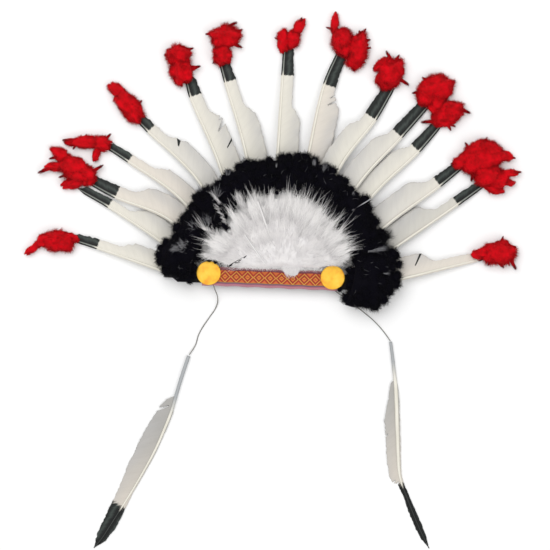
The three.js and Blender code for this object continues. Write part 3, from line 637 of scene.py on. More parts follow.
discSpec = {"radius": 13.8, "thickness": 3.8, "rim": 0.9, "bottom": 13.6, "steps": 56,
            "places": {"disc_left": (-70.4, 5.2), "disc_right": (71.9, 0)},
            "mottle": [(0.3, "#ee9c22"), (0.47, "#f8bd2a"), (0.62, "#fcc738"), (0.75, "#ffd050")],
            "patches": 110, "cells": 2200}   # patches of 9 mm, foam cells of 0.45 mm


def makeDiscMaterial():
    # dense craft foam: yellow with soft orange mottling
    spec = discSpec
    material, tree, shader = newMaterial("yellowCraftFoam")
    place = addNode(tree, "TexCoord").outputs["Object"]
    patch = addNode(tree, "TexNoise", {"Vector": place, "Scale": spec["patches"], "Detail": 4})
    colour = addNode(tree, "ValToRGB", {"Fac": patch.outputs["Fac"]}, stops=spec["mottle"])
    cells = addNode(tree, "TexNoise", {"Vector": place, "Scale": spec["cells"], "Detail": 1})
    finishSurface(tree, shader, colour.outputs["Color"], cells.outputs["Fac"], (0.2, 0.2),
                  {"Roughness": 0.55})
    return material


def buildDiscs():
    spec = discSpec
    radius, top, rim = spec["radius"], spec["thickness"], spec["rim"]
    profile = [(0, 0), (radius - rim, 0), (radius - 0.3 * rim, 0.25 * rim), (radius, rim),
               (radius, top - 1.6 * rim), (radius - 0.3 * rim, top - 0.9 * rim),
               (radius - rim, top - 0.55 * rim), (radius * 0.6, top - 0.18 * rim), (0, top)]
    material = makeDiscMaterial()
    for node, (x, y) in spec["places"].items():
        bm = bmesh.new()
        verts = [bm.verts.new((x * mm + r * mm, y * mm, (spec["bottom"] + z) * mm)) for r, z in profile]
        line = [bm.edges.new(pair) for pair in zip(verts, verts[1:])]
        bmesh.ops.spin(bm, geom=verts + line, cent=(x * mm, y * mm, 0), axis=(0, 0, 1), angle=math.tau,
                       steps=spec["steps"], use_merge=True)
        bmesh.ops.remove_doubles(bm, verts=bm.verts[:], dist=1e-6)
        bmesh.ops.recalc_face_normals(bm, faces=bm.faces[:])
        for face in bm.faces:
            face.smooth = True
        finishPiece("foam_" + node, meshFrom(bm, node + "_mesh"), node, [material])


downLook = {"clouds": 130, "fuzz": 1500}   # patches of 8 mm, fuzz of 0.7 mm
downTones = {   # material, colour at the root, at the tip, of rare strands and of patches, gloss, painted glow
    # red: the darker tip colour also serves as painted shade on the sides of the lobes
    "red": ("redMarabouDown", "#b1060f", "#42060f", "#d8a0a0", "#d20415", 0.08, 0),
    # black: the pale rare colour also makes the painted highlights
    "black": ("blackMarabouDown", "#03020a", "#080711", "#c4c4c8", "#05040c", 0.06, 0),
    # white: the rare dark grey makes the painted shade and greys some thin hairs; the glow is painted light
    "white": ("whiteMarabouDown", "#e2dfdf", "#f6f4f2", "#3c3a3e", "#e9e6e5", 0.15, 0.45)}
strandSpec = {"discGap": 0.4, "highest": 46.5, "middle": 0.8}
strandFaces = {   # faces of one strand by its number of stretches
    1: [(0, 1, 3), (1, 2, 3), (2, 0, 3), (2, 1, 0)],
    2: [(0, 1, 4, 3), (1, 2, 5, 4), (2, 0, 3, 5), (3, 4, 6), (4, 5, 6), (5, 3, 6), (2, 1, 0)]}


def makeDownMaterial(name, root, tip, pale, spots, shine, paintedGlow):
    # marabou down: u is how far the strand's own tone is turned on, v runs from root to tip
    material, tree, shader = newMaterial(name)
    uv = addNode(tree, "UVMap", uv_map="down")
    parts = addNode(tree, "SeparateXYZ", {"Vector": uv.outputs["UV"]})
    place = addNode(tree, "TexCoord").outputs["Object"]
    cloud = addNode(tree, "TexNoise", {"Vector": place, "Scale": downLook["clouds"], "Detail": 3})
    tones = addNode(tree, "ValToRGB", {"Fac": cloud.outputs["Fac"]}, stops=[(0.35, root), (0.65, spots)])
    ends = addNode(tree, "Math", {0: parts.outputs["X"], 1: parts.outputs["Y"]}, operation="MULTIPLY")
    reach = addNode(tree, "MapRange", {"Value": ends.outputs[0], "From Min": 0.15, "From Max": 0.75})
    tipped = addNode(tree, "Mix", {"Factor": reach.outputs[0], 6: tones.outputs["Color"], 7: linear(tip)},
                     data_type="RGBA")
    rare = addNode(tree, "MapRange", {"Value": parts.outputs["X"], "From Min": 1.05, "From Max": 1.6})
    final = addNode(tree, "Mix", {"Factor": rare.outputs[0], 6: tipped.outputs[2], 7: linear(pale)},
                    data_type="RGBA")
    fuzz = addNode(tree, "TexNoise", {"Vector": place, "Scale": downLook["fuzz"], "Detail": 2})
    colour = final.outputs[2]
    if paintedGlow:   # painted glow: emission that stands in for light scattering through the white down and softening its shadows
        tree.links.new(colour, shader.inputs["Emission Color"])
        dim = addNode(tree, "Mix", {"Factor": 1.0, 6: colour, 7: (0.62, 0.62, 0.62, 1)},
                      data_type="RGBA", blend_type="MULTIPLY")
        colour = dim.outputs[2]
    finishSurface(tree, shader, colour, fuzz.outputs["Fac"], (0.5, 0.5),
                  {"Roughness": 0.8, "Specular IOR Level": shine, "Sheen Weight": 0.03})
    if paintedGlow:
        shader.inputs["Emission Strength"].default_value = paintedGlow
    return material


downMaterials = {colour: makeDownMaterial(*tones) for colour, tones in downTones.items()}


def lumps(x, y, seed, scale):
    # smooth bumps of about -1 to 1 from a few crossed waves
    rng = np.random.default_rng(seed)
    total = 0
    for _ in range(7):
        turn, wave = rng.uniform(0, math.tau), scale * rng.uniform(0.7, 1.6)
        along = x * math.cos(turn) + y * math.sin(turn)
        total = total + np.sin(along * math.tau / wave + rng.uniform(0, 6))
    return total / 3


def turned(vectors, angles):
    # plan vectors turned by angles in radians
    c, s = np.cos(angles), np.sin(angles)
    return np.stack([vectors[:, 0] * c - vectors[:, 1] * s, vectors[:, 0] * s + vectors[:, 1] * c,
                     vectors[:, 2]], axis=1)


def strandMesh(name, sets, stretches):
    # tapered three-sided strands in one or two stretches, one mesh from arrays
    roots, ways, bends, lengths, radii, tints = (np.concatenate([s[k] for s in sets]) for k in range(6))
    ways = unit(ways)
    clear = np.full(len(roots), True)
    for centre in discSpec["places"].values():   # the discs lie in front of all hair
        for share in (0, 0.5, 1):
            place = roots + ways * (share * lengths)[:, None]
            away = np.linalg.norm(place[:, :2] - centre, axis=1)
            clear &= away > discSpec["radius"] + strandSpec["discGap"]
    kept = [part[clear] for part in (roots, ways, bends, lengths, radii, tints)]
    roots, ways, bends, lengths, radii, tints = kept
    helper = np.where(abs(ways[:, 2:]) < 0.9, [[0.0, 0, 1]], [[1.0, 0, 0]])
    a = unit(np.cross(ways, helper))
    b = np.cross(ways, a)
    middle = roots + ways * (0.5 * lengths)[:, None]
    tip = middle + unit(ways + bends) * (0.5 * lengths)[:, None]
    corners = []
    for centre, scale in ((roots, 1.0), (middle, strandSpec["middle"]))[:stretches]:
        for turn in (0, math.tau / 3, 2 * math.tau / 3):
            corners.append(centre + (a * math.cos(turn) + b * math.sin(turn)) * (radii * scale)[:, None])
    verts = np.stack(corners + [tip], axis=1)
    verts[..., 2] = np.minimum(verts[..., 2], strandSpec["highest"])
    count, points = verts.shape[:2]
    pattern = strandFaces[stretches]
    flat = np.array([i for face in pattern for i in face])
    starts = np.cumsum([0] + [len(face) for face in pattern[:-1]])
    each = np.arange(count)[:, None]
    mesh = bpy.data.meshes.new(name)
    mesh.vertices.add(points * count)
    mesh.vertices.foreach_set("co", (verts.reshape(-1, 3) * mm).astype(np.float32).ravel())
    mesh.loops.add(len(flat) * count)
    mesh.loops.foreach_set("vertex_index", (flat + points * each).astype(np.int32).ravel())
    mesh.polygons.add(len(pattern) * count)
    mesh.polygons.foreach_set("loop_start", (starts + len(flat) * each).astype(np.int32).ravel())
    mesh.update(calc_edges=True)
    share = np.array([0, 0, 0, 0.5, 0.5, 0.5][:points - 1] + [1.0])[flat]
    uv = np.stack(np.broadcast_arrays(tints[:, None], share[None, :]), axis=-1)
    mesh.uv_layers.new(name="down").data.foreach_set("uv", uv.astype(np.float32).ravel())
    mesh.validate()
    return mesh


def newBody():
    bm = bmesh.new()
    bm.loops.layers.uv.new("down")
    return bm


def downPiece(node, colour, bm, hair):
    # the soft body and its strands as one piece; hair holds the strand sets by their number of stretches
    for face in bm.faces:
        face.smooth = True
    name = "down_" + node
    for stretches, sets in hair.items():
        strands = strandMesh(name + "_strands", sets, stretches)
        bm.from_mesh(strands)
        bpy.data.meshes.remove(strands)
    finishPiece(name, meshFrom(bm, name), node, [downMaterials[colour]])


redSpec = {"floor": 3.6, "rise": 12, "fullWidth": 24, "perArea": 1.5, "length": (3.2, 6.2), "radius": 0.27,
           "rootScale": 0.9, "lockHeight": 3.2}
redTufts = {   # lobes: x, y, length, width, turn; locks: start x, y, tip x, y, width at the start
    "01": {"lobes": [(-243, 42, 40, 25, 175), (-229, 45.5, 20, 12, 165), (-260, 43, 28, 14, 35),
                     (-273, 33.5, 24, 8.5, 36)],
           "locks": [(-236, 33, -234, 29.5, 5)]},
    "02_03": {"lobes": [(-222, 124, 50, 27, 148), (-241, 142, 26, 15, 150), (-227, 108, 30, 12, 8),
                        (-209, 116, 24, 17, 70), (-246, 127.5, 28, 11, 176)],
              "locks": [(-252, 127.5, -268, 119.5, 7), (-206, 121, -191, 130, 6), (-230, 119, -244, 115, 4),
                        (-244, 139, -255, 136.5, 4)]},
    "04": {"lobes": [(-210, 155.5, 54, 14.5, 0), (-194, 154.5, 21, 18, 150), (-200, 142.5, 20, 9, 75)],
           "locks": [(-226, 157.5, -240, 158, 7), (-191, 158, -182.5, 166, 5), (-212, 160, -211, 165, 5),
                     (-223, 153, -227, 147, 4)]},
    "05": {"lobes": [(-162, 197, 45, 23, 123), (-177, 216, 23, 15, 145), (-152.5, 193, 20, 12, 105)],
           "locks": [(-153, 197, -147, 204.5, 5), (-170, 194, -175, 195, 3), (-165, 187, -167, 184, 4)]},
    "06": {"lobes": [(-105, 256, 30, 26, 0), (-102, 237, 34, 27, 100)],
           "locks": [(-92, 240, -79, 243.5, 8), (-98, 261, -87.5, 264.5, 6), (-114, 257, -122.5, 256, 6),
                     (-104, 226, -101, 219, 7)]},
    "07": {"lobes": [(-52, 277, 37, 27, 5), (-55, 256, 25, 23, 95)],
           "locks": [(-54, 286, -37, 294.5, 4), (-64, 280, -75, 280, 5), (-44, 270, -31, 264, 6),
                     (-40, 281, -31, 286, 5), (-62, 251, -66, 246, 6)]},
    "08": {"lobes": [(15, 272, 29, 15, 92), (26, 274.5, 24, 17, 75), (33, 288, 24, 12, 60)],
           "locks": [(34, 292, 37, 300, 6), (11, 274, 5, 276, 3)]},
    "09": {"lobes": [(84, 271, 38, 25, 105), (100, 261, 46, 24, 80), (74.5, 292.5, 26, 9, 84)],
           "locks": [(77, 283, 64, 288.5, 4), (104, 278, 111, 287, 6), (107, 271, 116, 274, 6),
                     (107, 263, 117, 264.5, 5), (97, 245, 96, 237, 6), (102, 276, 103, 285, 4)]},
    "10": {"lobes": [(138, 235, 40, 31, 60), (129, 245, 25, 13, 38)],
           "locks": [(140, 249, 133, 261.5, 4), (148, 229, 161, 220.5, 6), (144, 248, 149, 257, 6),
                     (124, 244, 118, 240, 5)]},
    "11_12": {"lobes": [(190, 216, 44, 33, 15), (179, 207, 22, 21, 0), (204, 190, 40, 26, 20),
                        (200, 179, 28, 12, 0), (192, 199, 24, 20, 60)],
              "locks": [(216, 195, 232, 188.5, 7), (193, 180, 172, 178.5, 5), (205, 177.5, 214, 173, 5),
                        (205, 222, 213.5, 227, 6), (174, 214, 163, 212, 6), (205, 176, 208, 168.5, 5),
                        (180, 225, 175, 231, 6)]},
    "13_14": {"lobes": [(243, 138, 54, 38, 18), (222, 134, 26, 16, 30), (266, 140.5, 30, 13, 172),
                        (253, 116, 42, 29, 160), (272, 119.5, 30, 10, 5), (275, 109.5, 16, 8, 170),
                        (259, 102, 24, 13, 170)],
              "locks": [(235, 124, 231, 109, 4), (215, 133.5, 207, 130, 6), (230, 146, 224, 156, 6),
                        (279, 121, 290, 121, 5), (274, 139, 283, 137, 5), (262, 99, 270, 98, 5),
                        (246, 153, 250, 162, 6)],
              "floor": 5},
    "15": {"lobes": [(263, 28, 41, 27, 5), (246, 28.5, 32, 13, 15), (266, 36.5, 22, 13, 15)],
           "locks": [(266, 40, 268.5, 48, 5), (275, 24, 283.5, 8, 7), (262, 19, 269.5, 10.5, 5),
                     (275, 36, 284, 35, 5), (254, 20, 250, 13, 5), (271, 21, 276, 13, 4)],
           "floor": 5},
}


def lobePoint(ball, lobe, rise, floor, seed, scale):
    # a point on the lobe for each direction of a ball
    x, y, length, width, turn = lobe
    grown = scale * (1 + 0.13 * lumps(20 * ball[:, 0] + 9 * ball[:, 2], 20 * ball[:, 1] + seed, seed, 17))
    flat = np.stack([ball[:, 0] * length / 2 * grown, ball[:, 1] * width / 2 * grown,
                     np.where(ball[:, 2] > 0, ball[:, 2] * rise, ball[:, 2] * 0.6) * grown], axis=1)
    flat = turned(flat, np.full(len(ball), math.radians(turn)))
    return flat + [x, y, floor + 0.6]


def lobeBody(bm, lobe, rise, floor, seed, scale=0.93):
    # a lumpy half-ball pulled out to the lobe's length and width
    made = bmesh.ops.create_icosphere(bm, subdivisions=4, radius=1)["verts"]
    co = unit(np.array([v.co for v in made]))
    place = lobePoint(co, lobe, rise, floor, seed, scale)
    for v, point in zip(made, place):
        v.co = Vector(point) * mm


def lobeStrands(rng, lobe, small, floor, seed):
    # short strands that close into clumps, as combed down does
    spec = redSpec
    area = math.pi / 4 * lobe[2] * lobe[3]
    count, clumps = int(spec["perArea"] * area) + 80, int(6 + area / 60)
    length = [small * value for value in spec["length"]]
    ball = unit(rng.normal(0, 1, (count, 3)) * [1, 1, 0.8])
    ball[:, 2] = abs(ball[:, 2]) * rng.choice([1, 0.25], count)
    ball = unit(ball)
    roots = lobePoint(ball, lobe, small * spec["rise"], floor, seed, spec["rootScale"])
    out = unit(turned(ball * [1, lobe[2] / lobe[3], 1.2], np.full(count, math.radians(lobe[4]))))
    centres = rng.integers(0, count, clumps)
    clumpTurn = rng.normal(0, math.radians(45), clumps)
    reach = rng.uniform(0.6, 1.2, clumps)
    away = np.linalg.norm(roots[:, None, :] - roots[None, centres], axis=2)
    away = away + rng.normal(0, 1.2, (count, clumps))
    mine = away.argmin(axis=1)
    ways = turned(out, clumpTurn[mine] + rng.normal(0, math.radians(30), count))
    target = roots[centres][mine] + out[centres][mine] * length[1] * 1.2
    ways = unit(ways) * 0.6 + unit(target - roots) * 0.4
    ways[:, 2] *= 0.45
    bends = rng.normal(0, 0.5, (count, 3))
    lengths = rng.uniform(*length, count) * reach[mine]
    # painted shade: strands on the lobe's sides, away from its top, take more of the darker tip colour
    edge = 1 - abs(ball[:, 2])
    tints = np.clip(0.9 * edge ** 4 + rng.uniform(-0.4, 0.1, count), 0, 1)
    roots[:, 2] = np.maximum(roots[:, 2], floor + 0.6)
    ways[:, 2] = np.where(roots[:, 2] < floor + 2, abs(ways[:, 2]), ways[:, 2])
    return [roots, ways, bends, lengths, np.full(count, spec["radius"]), tints]


def lockStrands(rng, lock, level, radius):
    # a wisp of strands that starts as wide as the lock and closes at its tip
    start, tip = np.array([*lock[:2], level]), np.array([*lock[2:4], level - 0.5])
    reach = np.linalg.norm(tip - start)
    count = int(26 + 5 * lock[4] + 5 * reach)
    share = rng.uniform(-0.35, 0.6, count)
    spread = lock[4] / 2 * (1 - np.maximum(share, 0)) * rng.uniform(0, 1, count) ** 0.6
    side = rng.uniform(0, math.tau, count)
    across = unit(np.array([[start[1] - tip[1], tip[0] - start[0], 0.0]]))
    roots = start + (tip - start) * share[:, None] + across * (spread * np.cos(side))[:, None]
    roots[:, 2] += 0.6 * spread * np.sin(side)
    ends = tip + rng.normal(0, 0.5, (count, 3)) * [1, 1, 0.4]
    ends = roots + (ends - roots) * rng.uniform(0.75, 1.0, (count, 1))
    tints = rng.uniform(0.2, 0.9, count)
    return [roots, ends - roots, rng.normal(0, 0.12, (count, 3)), np.linalg.norm(ends - roots, axis=1),
            np.full(count, 1.5 * radius), tints]


def buildRedTufts():
    spec = redSpec
    for number, (name, entry) in enumerate(redTufts.items()):
        rng = np.random.default_rng(900 + number)
        floor = entry.get("floor", spec["floor"])
        bm = newBody()
        sets = []
        for seed, lobe in enumerate(entry["lobes"], 80 + number):
            small = min(1, lobe[3] / spec["fullWidth"])
            lobeBody(bm, lobe, small * spec["rise"], floor, seed)
            sets.append(lobeStrands(rng, lobe, small, floor, seed))
        for lock in entry["locks"]:
            sets.append(lockStrands(rng, lock, floor + spec["lockHeight"], spec["radius"]))
        downPiece("red_tuft_" + name, "red", bm, {1: sets})


buildRedTufts()
print("red tufts done")


# black and white plumes lie as wedges of one ring round the hub
hub = (10, -5)
# the pad's profile: shares across it, and the height there as a share of the crown
padShape = ([0, 0.05, 0.15, 0.35, 0.55, 0.75, 0.92, 1], [0.2, 0.38, 0.62, 0.9, 1, 0.85, 0.45, 0.15])


def bearingOf(x, y):
    return math.degrees(math.atan2(y - hub[1], x - hub[0]))


def outward(x, y):
    # level directions away from the hub
    return unit(np.stack([x - hub[0], y - hub[1], 0 * x], axis=1))


def headings(degrees, climbs):
    # directions from plan angles and how much each climbs
    angle = np.radians(degrees)
    return np.stack([np.cos(angle), np.sin(angle), climbs], axis=1)


def columnsAt(table, bearing):
    # the later columns of a table, read at a bearing in its first one
    table = np.array(table, float)
    return [np.interp(bearing, table[:, 0], column) for column in table[:, 1:].T]


def padSize(bearing, spec):
    # inner radius, outer radius and crown height; the white ones start at the ribbon's edge
    sizes = columnsAt(spec["outline"], bearing)
    if "ribbonEdge" in spec:
        sizes.insert(0, spec["ribbonEdge"] / np.sin(np.radians(bearing)))
    return sizes


def padPoint(bearing, share, spec):
    # a point on the pad's top, and the height of the top over the floor
    inner, outer, crown = padSize(bearing, spec)
    radius = inner + (outer - inner) * share
    angle = np.radians(bearing)
    x, y = hub[0] + radius * np.cos(angle), hub[1] + radius * np.sin(angle)
    height = crown * np.interp(share, *padShape) * (1 + 0.11 * lumps(x, y, *spec["lumps"]))
    return x, y, height


def padBody(bm, first, last, spec):
    # the soft wedge that carries the hair: a divided cube laid over the pad
    rim = spec["rim"]
    bmesh.ops.create_cube(bm, size=2)
    bmesh.ops.subdivide_edges(bm, edges=bm.edges[:], cuts=13, use_grid_fill=True)
    co = np.array([v.co for v in bm.verts])
    bearing = first + (last - first) * (co[:, 0] + 1) / 2
    share = rim + (1 - 2 * rim) * (co[:, 1] + 1) / 2
    x, y, height = padPoint(bearing, share, spec)
    z = spec["floor"] + spec["fill"] * height * (co[:, 2] + 1) / 2
    for v, *place in zip(bm.verts, x, y, z):
        v.co = Vector(place) * mm


def singleStrands(rows):
    # named strands: start, end, radius and tint
    start, end = (np.array([row[k] for row in rows], float) for k in (0, 1))
    lengths = np.linalg.norm(end - start, axis=1)
    return [start, end - start, np.full(start.shape, 0.01), lengths,
            np.array([row[2] for row in rows]), np.array([row[3] for row in rows])]


blackOutline = [   # bearing from the hub, inner radius, outer radius, crown height
    (-19, 79, 90, 11), (-14, 78, 115, 15), (-4, 78, 138, 18), (6, 82, 137, 19), (12, 84, 140, 19),
    (17, 86, 133, 18), (29, 90, 132, 18), (44, 94, 139, 18), (56, 96, 141, 18), (71, 100, 147, 17),
    (83, 104, 147, 17), (97, 104, 141, 17), (109, 102, 141, 17), (121, 98, 138, 18),
    (134, 92, 139, 18), (146, 91, 135, 18), (156, 96, 133, 18), (164, 97, 144, 18),
    (172, 97, 140, 17), (180, 97, 118, 13)]
blackSpec = {"outline": blackOutline, "lumps": (71, 16), "fill": 0.84, "rim": 0.1, "floor": 13.4,
             "from": 12, "to": 158, "count": 7, "sides": {"right": (-19, 12), "left": (158, 180)},
             "puffRows": 5, "puffGap": 9.5, "puffSize": 9.5, "puffStrands": 300, "radius": 0.25,
             "limits": (-13.5, 174), "core": 0.56, "flatness": 0.6, "levels": (0.45, 0.7), "lowUpTo": 0.32,
             "strays": 50, "paleShare": 0.12, "strayRadius": 0.13, "wispRadius": 0.16}
extraPuffs = [   # beside the discs and between the white plumes: x, y, z, size
    (-89, 2, 18, 7), (-86, 11, 19, 6), (-92, -4, 16, 6), (92, 0, 17, 7), (90, -9, 17, 7), (91, 9, 18, 7),
    (80, -14, 16, 4.5), (86, 17, 19, 5), (-55, 15.5, 18, 3.4), (-48, 14, 18, 2.6), (-62, 18, 18, 5),
    (-70, 21, 18, 6), (-78, 22, 19, 6),
    (82, 24, 18, 6), (76, 19, 17, 5), (144, 25, 17, 8), (147, 15, 17, 8), (146, 4, 17, 7),
    (-48.5, 55.5, 28, 5.5), (-52, 60, 28, 7), (-58, 68, 27, 9), (-66, 76, 26, 9), (-66, 62, 26, 6),
    (-35, 89, 27, 6), (-14.5, 93, 30, 2.5), (-15, 101, 29, 4), (8, 97, 29, 4), (11, 105, 28, 7)]
paleWispsAndSheen = [   # pale down that shows in the black, and pale streaks painted as highlights on the black down: x, y, turn, spread, length, count
    (-62, 95, 70, 5, 9, 50), (-70, 62, 115, 4, 14, 30), (-48, 117, 95, 2.5, 8, 24), (50, 128, 85, 2, 9, 24),
    (61, 123, 60, 2.5, 10, 26), (94, 77, 20, 1.2, 3, 14), (95, 95, 80, 1.2, 4, 12), (7, 126, 85, 1, 5, 10),
    (-99, 36, 160, 5, 8, 90), (-106, 34, 200, 4, 8, 60), (112, 30, 8, 1.2, 22, 14),
    (122, 32, 4, 1.5, 18, 18), (130, 5, -8, 1.2, 10, 10), (131, 46, 35, 5, 14, 140, 0.3),   # dark tone
    (-80, 100, 120, 4, 8, 16),
    (-86, 58, 125, 6, 12, 16)]
paleLines = [((115.8, 89.8, 34), (97.8, 79.1, 36.5), 0.7, 1.7)]   # a quill end that shows in the black
darkBarbs = [   # a dark barb that lies over the white, with side barbs
    ((-46, 14.4, 29), (-27.3, 25, 37), 0.55, 0), ((-40, 17, 32), (-33, 17, 34), 0.7, 0),
    ((-47, 13, 28), (-40, 18, 33), 1.0, 0), ((-36, 18.5, 33), (-32, 21, 35), 0.8, 0),
    ((-49, 13, 27), (-42, 14, 31), 0.8, 0), ((-30, 22.5, 36), (-26, 25.5, 38), 0.9, 0)]


def onePuff(rng, bm, x, y, z, size, spec, wayAngle, lean):
    # a ball of down: a core in the body and short soft strands, combed a little to one side
    flatness = spec["flatness"]
    for v in bmesh.ops.create_icosphere(bm, subdivisions=2, radius=spec["core"] * size)["verts"]:
        v.co = (v.co * rng.uniform(0.92, 1.08) + Vector((x, y, z / flatness))) * mm
        v.co.z = max(flatness * v.co.z, (spec["floor"] + 0.3) * mm)
    count = int(spec["puffStrands"] * (size / spec["puffSize"]) ** 2)
    ball = unit(rng.normal(0, 1, (count, 3)))
    ball[:, 2] = abs(ball[:, 2]) * 0.7
    out = np.array([math.cos(wayAngle), math.sin(wayAngle), rng.uniform(-0.1, 0.3)])
    roots = ball * size * rng.uniform(0.4, 0.68, (count, 1))
    roots[:, 2] *= flatness
    roots += [x, y, z]
    ways = unit(ball) + out * lean + rng.normal(0, 0.4, (count, 3))
    ways[:, 2] *= 0.55
    bends = rng.normal(0, 0.6, (count, 3))
    lengths = size * rng.uniform(0.22, 0.55, count) * np.where(rng.random(count) < 0.08, 1.5, 1)
    roots[:, 2] = np.maximum(roots[:, 2], spec["floor"] + 0.6)
    tints = rng.uniform(0, 0.5, count) + rng.uniform(0, 0.4)
    return [roots, ways, bends, lengths, np.full(count, spec["radius"]), tints]


def puffStrands(rng, bm, first, last, spec):
    # fluffy balls of down set in rows across the pad, so that the edge is scalloped
    sets = []
    inner, outer, _ = padSize((first + last) / 2, spec)
    depth = outer - inner
    rows = spec["puffRows"]
    for row in range(rows):
        share = (row + 0.5) / rows
        arc = math.radians(last - first) * (inner + depth * share)
        across = max(round(arc / spec["puffGap"]), 1)
        for k in range(across):
            bearing = first + (last - first) * (k + 0.5 + rng.uniform(-0.28, 0.28)) / across
            bearing = np.clip(bearing, *spec["limits"])
            at = np.clip(share + rng.uniform(-0.09, 0.09), 0.06, 0.93)
            x, y, height = padPoint(bearing, at, spec)
            size = spec["puffSize"] * rng.uniform(0.7, 1.3)
            level = spec["levels"][int(at >= spec["lowUpTo"])]   # lower beside the white
            sets.append(onePuff(rng, bm, x, y, spec["floor"] + max(level * height, 2), size, spec,
                                math.radians(bearing + rng.normal(0, 14)), rng.uniform(0.1, 0.5)))
    for x, y, z, size in extraPuffs:
        if first <= bearingOf(x, y) < last:
            sets.append(onePuff(rng, bm, x, y, z, size, spec, rng.uniform(0, math.tau), 0.2))
    return sets


def wispAndSheenStrands(rng, x, y, turn, spread, length, count, tone=1.3):
    # thin pale barbs that lie over the black, some standing in as painted highlights
    _, _, height = padPoint(np.array([bearingOf(x, y)]), 0.6, blackSpec)
    roots = np.array([x, y, blackSpec["floor"] + height[0] + 3])
    roots = roots + rng.normal(0, 0.5, (count, 3)) * [spread, spread, 2]
    ways = headings(turn + rng.normal(0, 4 + 4.5 * spread, count), rng.normal(0.05, 0.1, count))
    lengths = length * rng.uniform(0.5, 1.1, count)
    tints = rng.uniform(tone - 0.2, tone + 0.2, count)
    bends = rng.normal(0, 0.4, (count, 3))
    return [roots, ways, bends, lengths, np.full(count, blackSpec["wispRadius"]), tints]


def strayStrands(rng, count, first, last, spec):
    # single long hairs that stand out of the down, a few of them pale
    bearing = rng.uniform(first, last, count)
    share = rng.uniform(0.05, 0.97, count)
    x, y, height = padPoint(bearing, share, spec)
    roots = np.stack([x, y, spec["floor"] + height], axis=1)
    ways = turned(outward(x, y), rng.normal(0, 0.7, count))
    ways[:, 2] = rng.normal(0.1, 0.15, count)
    tints = np.where(rng.random(count) < spec["paleShare"], 1.25, rng.uniform(0, 1, count))
    bends = rng.normal(0, 0.5, (count, 3))
    return [roots, ways, bends, rng.uniform(5, 9, count), np.full(count, spec["strayRadius"]), tints]


def buildBlackPlumes():
    spec = blackSpec
    step = (spec["to"] - spec["from"]) / spec["count"]
    pads = {f"black_plume_{spec['count'] - i:02d}": (spec["from"] + i * step, spec["from"] + (i + 1) * step)
            for i in range(spec["count"])}
    pads |= {f"black_side_{side}": span for side, span in spec["sides"].items()}
    for number, (node, (first, last)) in enumerate(pads.items()):
        rng = np.random.default_rng(500 + number)
        bm = newBody()
        padBody(bm, first, last, spec)
        puffs = puffStrands(rng, bm, first, last, spec)
        strays = int(spec["strays"] * (last - first) / step)
        hairs = [strayStrands(rng, strays, first, last, spec)]
        hairs += [wispAndSheenStrands(rng, *wisp) for wisp in paleWispsAndSheen if first <= bearingOf(*wisp[:2]) < last]
        lines = [line for line in paleLines if first <= bearingOf(*line[1][:2]) < last]
        if node == "black_side_left":
            lines += darkBarbs
        if lines:
            hairs.append(singleStrands(lines))
        downPiece(node, "black", bm, {1: puffs, 2: hairs})


whiteOutline = [   # bearing from the hub, outer radius, crown height
    (20, 79, 13), (35, 84, 16), (60, 89, 19), (80, 96, 20), (100, 97, 20), (120, 91, 19), (145, 84, 16),
    (158, 82, 13)]
whiteSpec = {"outline": whiteOutline, "ribbonEdge": 16.5, "lumps": (72, 24), "fill": 0.93, "rim": 0.02,
             "floor": 13.6, "from": 20, "to": 158, "count": 6, "bunches": 50, "strands": 2500,
             "length": (13, 28), "radius": 0.2, "gapHeight": 9, "edgeHairs": 1200, "edgeBunches": 26,
             "edgeFrom": (0.66, 0.96), "edgeLowest": 31.5, "edgeTops": (36, 40), "strongShare": 0.22,
             "hairRadii": (0.24, 0.13), "shadeZ": 40, "shadeRadius": 0.15}
whiteReach = [   # bearing, and how far the hairs reach out over the black
    (20, 18), (25, 21), (31, 25), (40, 27), (50, 25), (64, 24), (77, 18), (83, 24), (91, 9), (97, 15),
    (107, 24), (115, 20), (124, 30), (130, 20), (135, 5), (142, 24), (146, 26), (152, 16), (158, 20)]
whiteRimShade = [   # bearing, and the share of bunches near the rim that are grey as painted shade at the white's edge
    (20, 0.5), (40, 0.5), (60, 0.35), (90, 0.25), (97, 0.8), (112, 0.7), (128, 0.5), (140, 0.3), (158, 0.4)]
whiteGaps = [   # gaps between the plumes: x, y, half width at both ends, share of hairs that cross
    (-41, 46, 2, -62, 75, 9, 0), (-13.8, 86, 0.8, -15.5, 104, 2, 0), (6, 91, 0.8, 11, 108, 6, 0),
    (-22.5, 64, 2, -36, 92, 6.5, 0.06), (0, 62, 1, -4.5, 90, 3, 0.4)]
gapHairs = [   # thin hairs that lean into the gaps: from, to, turn, turn spread, length, count
    ((-48, 60), (-60, 82), 150, 20, 7, 60), ((-54, 47), (-76, 55), 115, 18, 9, 75),
    ((-72, 52), (-76, 56), 125, 8, 24, 14), ((-56, 84), (-62, 90), 128, 9, 20, 20),
    ((0, 90), (2, 98), 75, 14, 8, 20), ((-17, 88), (-18, 96), 82, 8, 8, 16)]
lowHairs = [   # hairs over the ribbon's edge and at both lower corners, which start lower: 20 to 28 mm
    ((-36, 12.6), (68, 10.2), -88, 38, 4.4, 900, 20, 28), ((-35, 15), (-74, 27), 192, 20, 11, 500, 20, 28),
    ((48, 14), (80, 22), -6, 22, 11, 600, 20, 28)]
whiteQuills = {   # bare shafts that show on top, and the shade beside one
    4: [((-13.8, 86.8, 44), (2.3, 40.8, 42), 1.15, 1), ((-12, 86, 43), (-0.5, 55, 41.5), 0.9, 1.3)],
    2: [((-28.8, 48.9, 43), (-3.5, 12.1, 38), 0.8, 1), ((-27.6, 49, 42.4), (-4, 14, 37.5), 0.8, 1.25)],
}
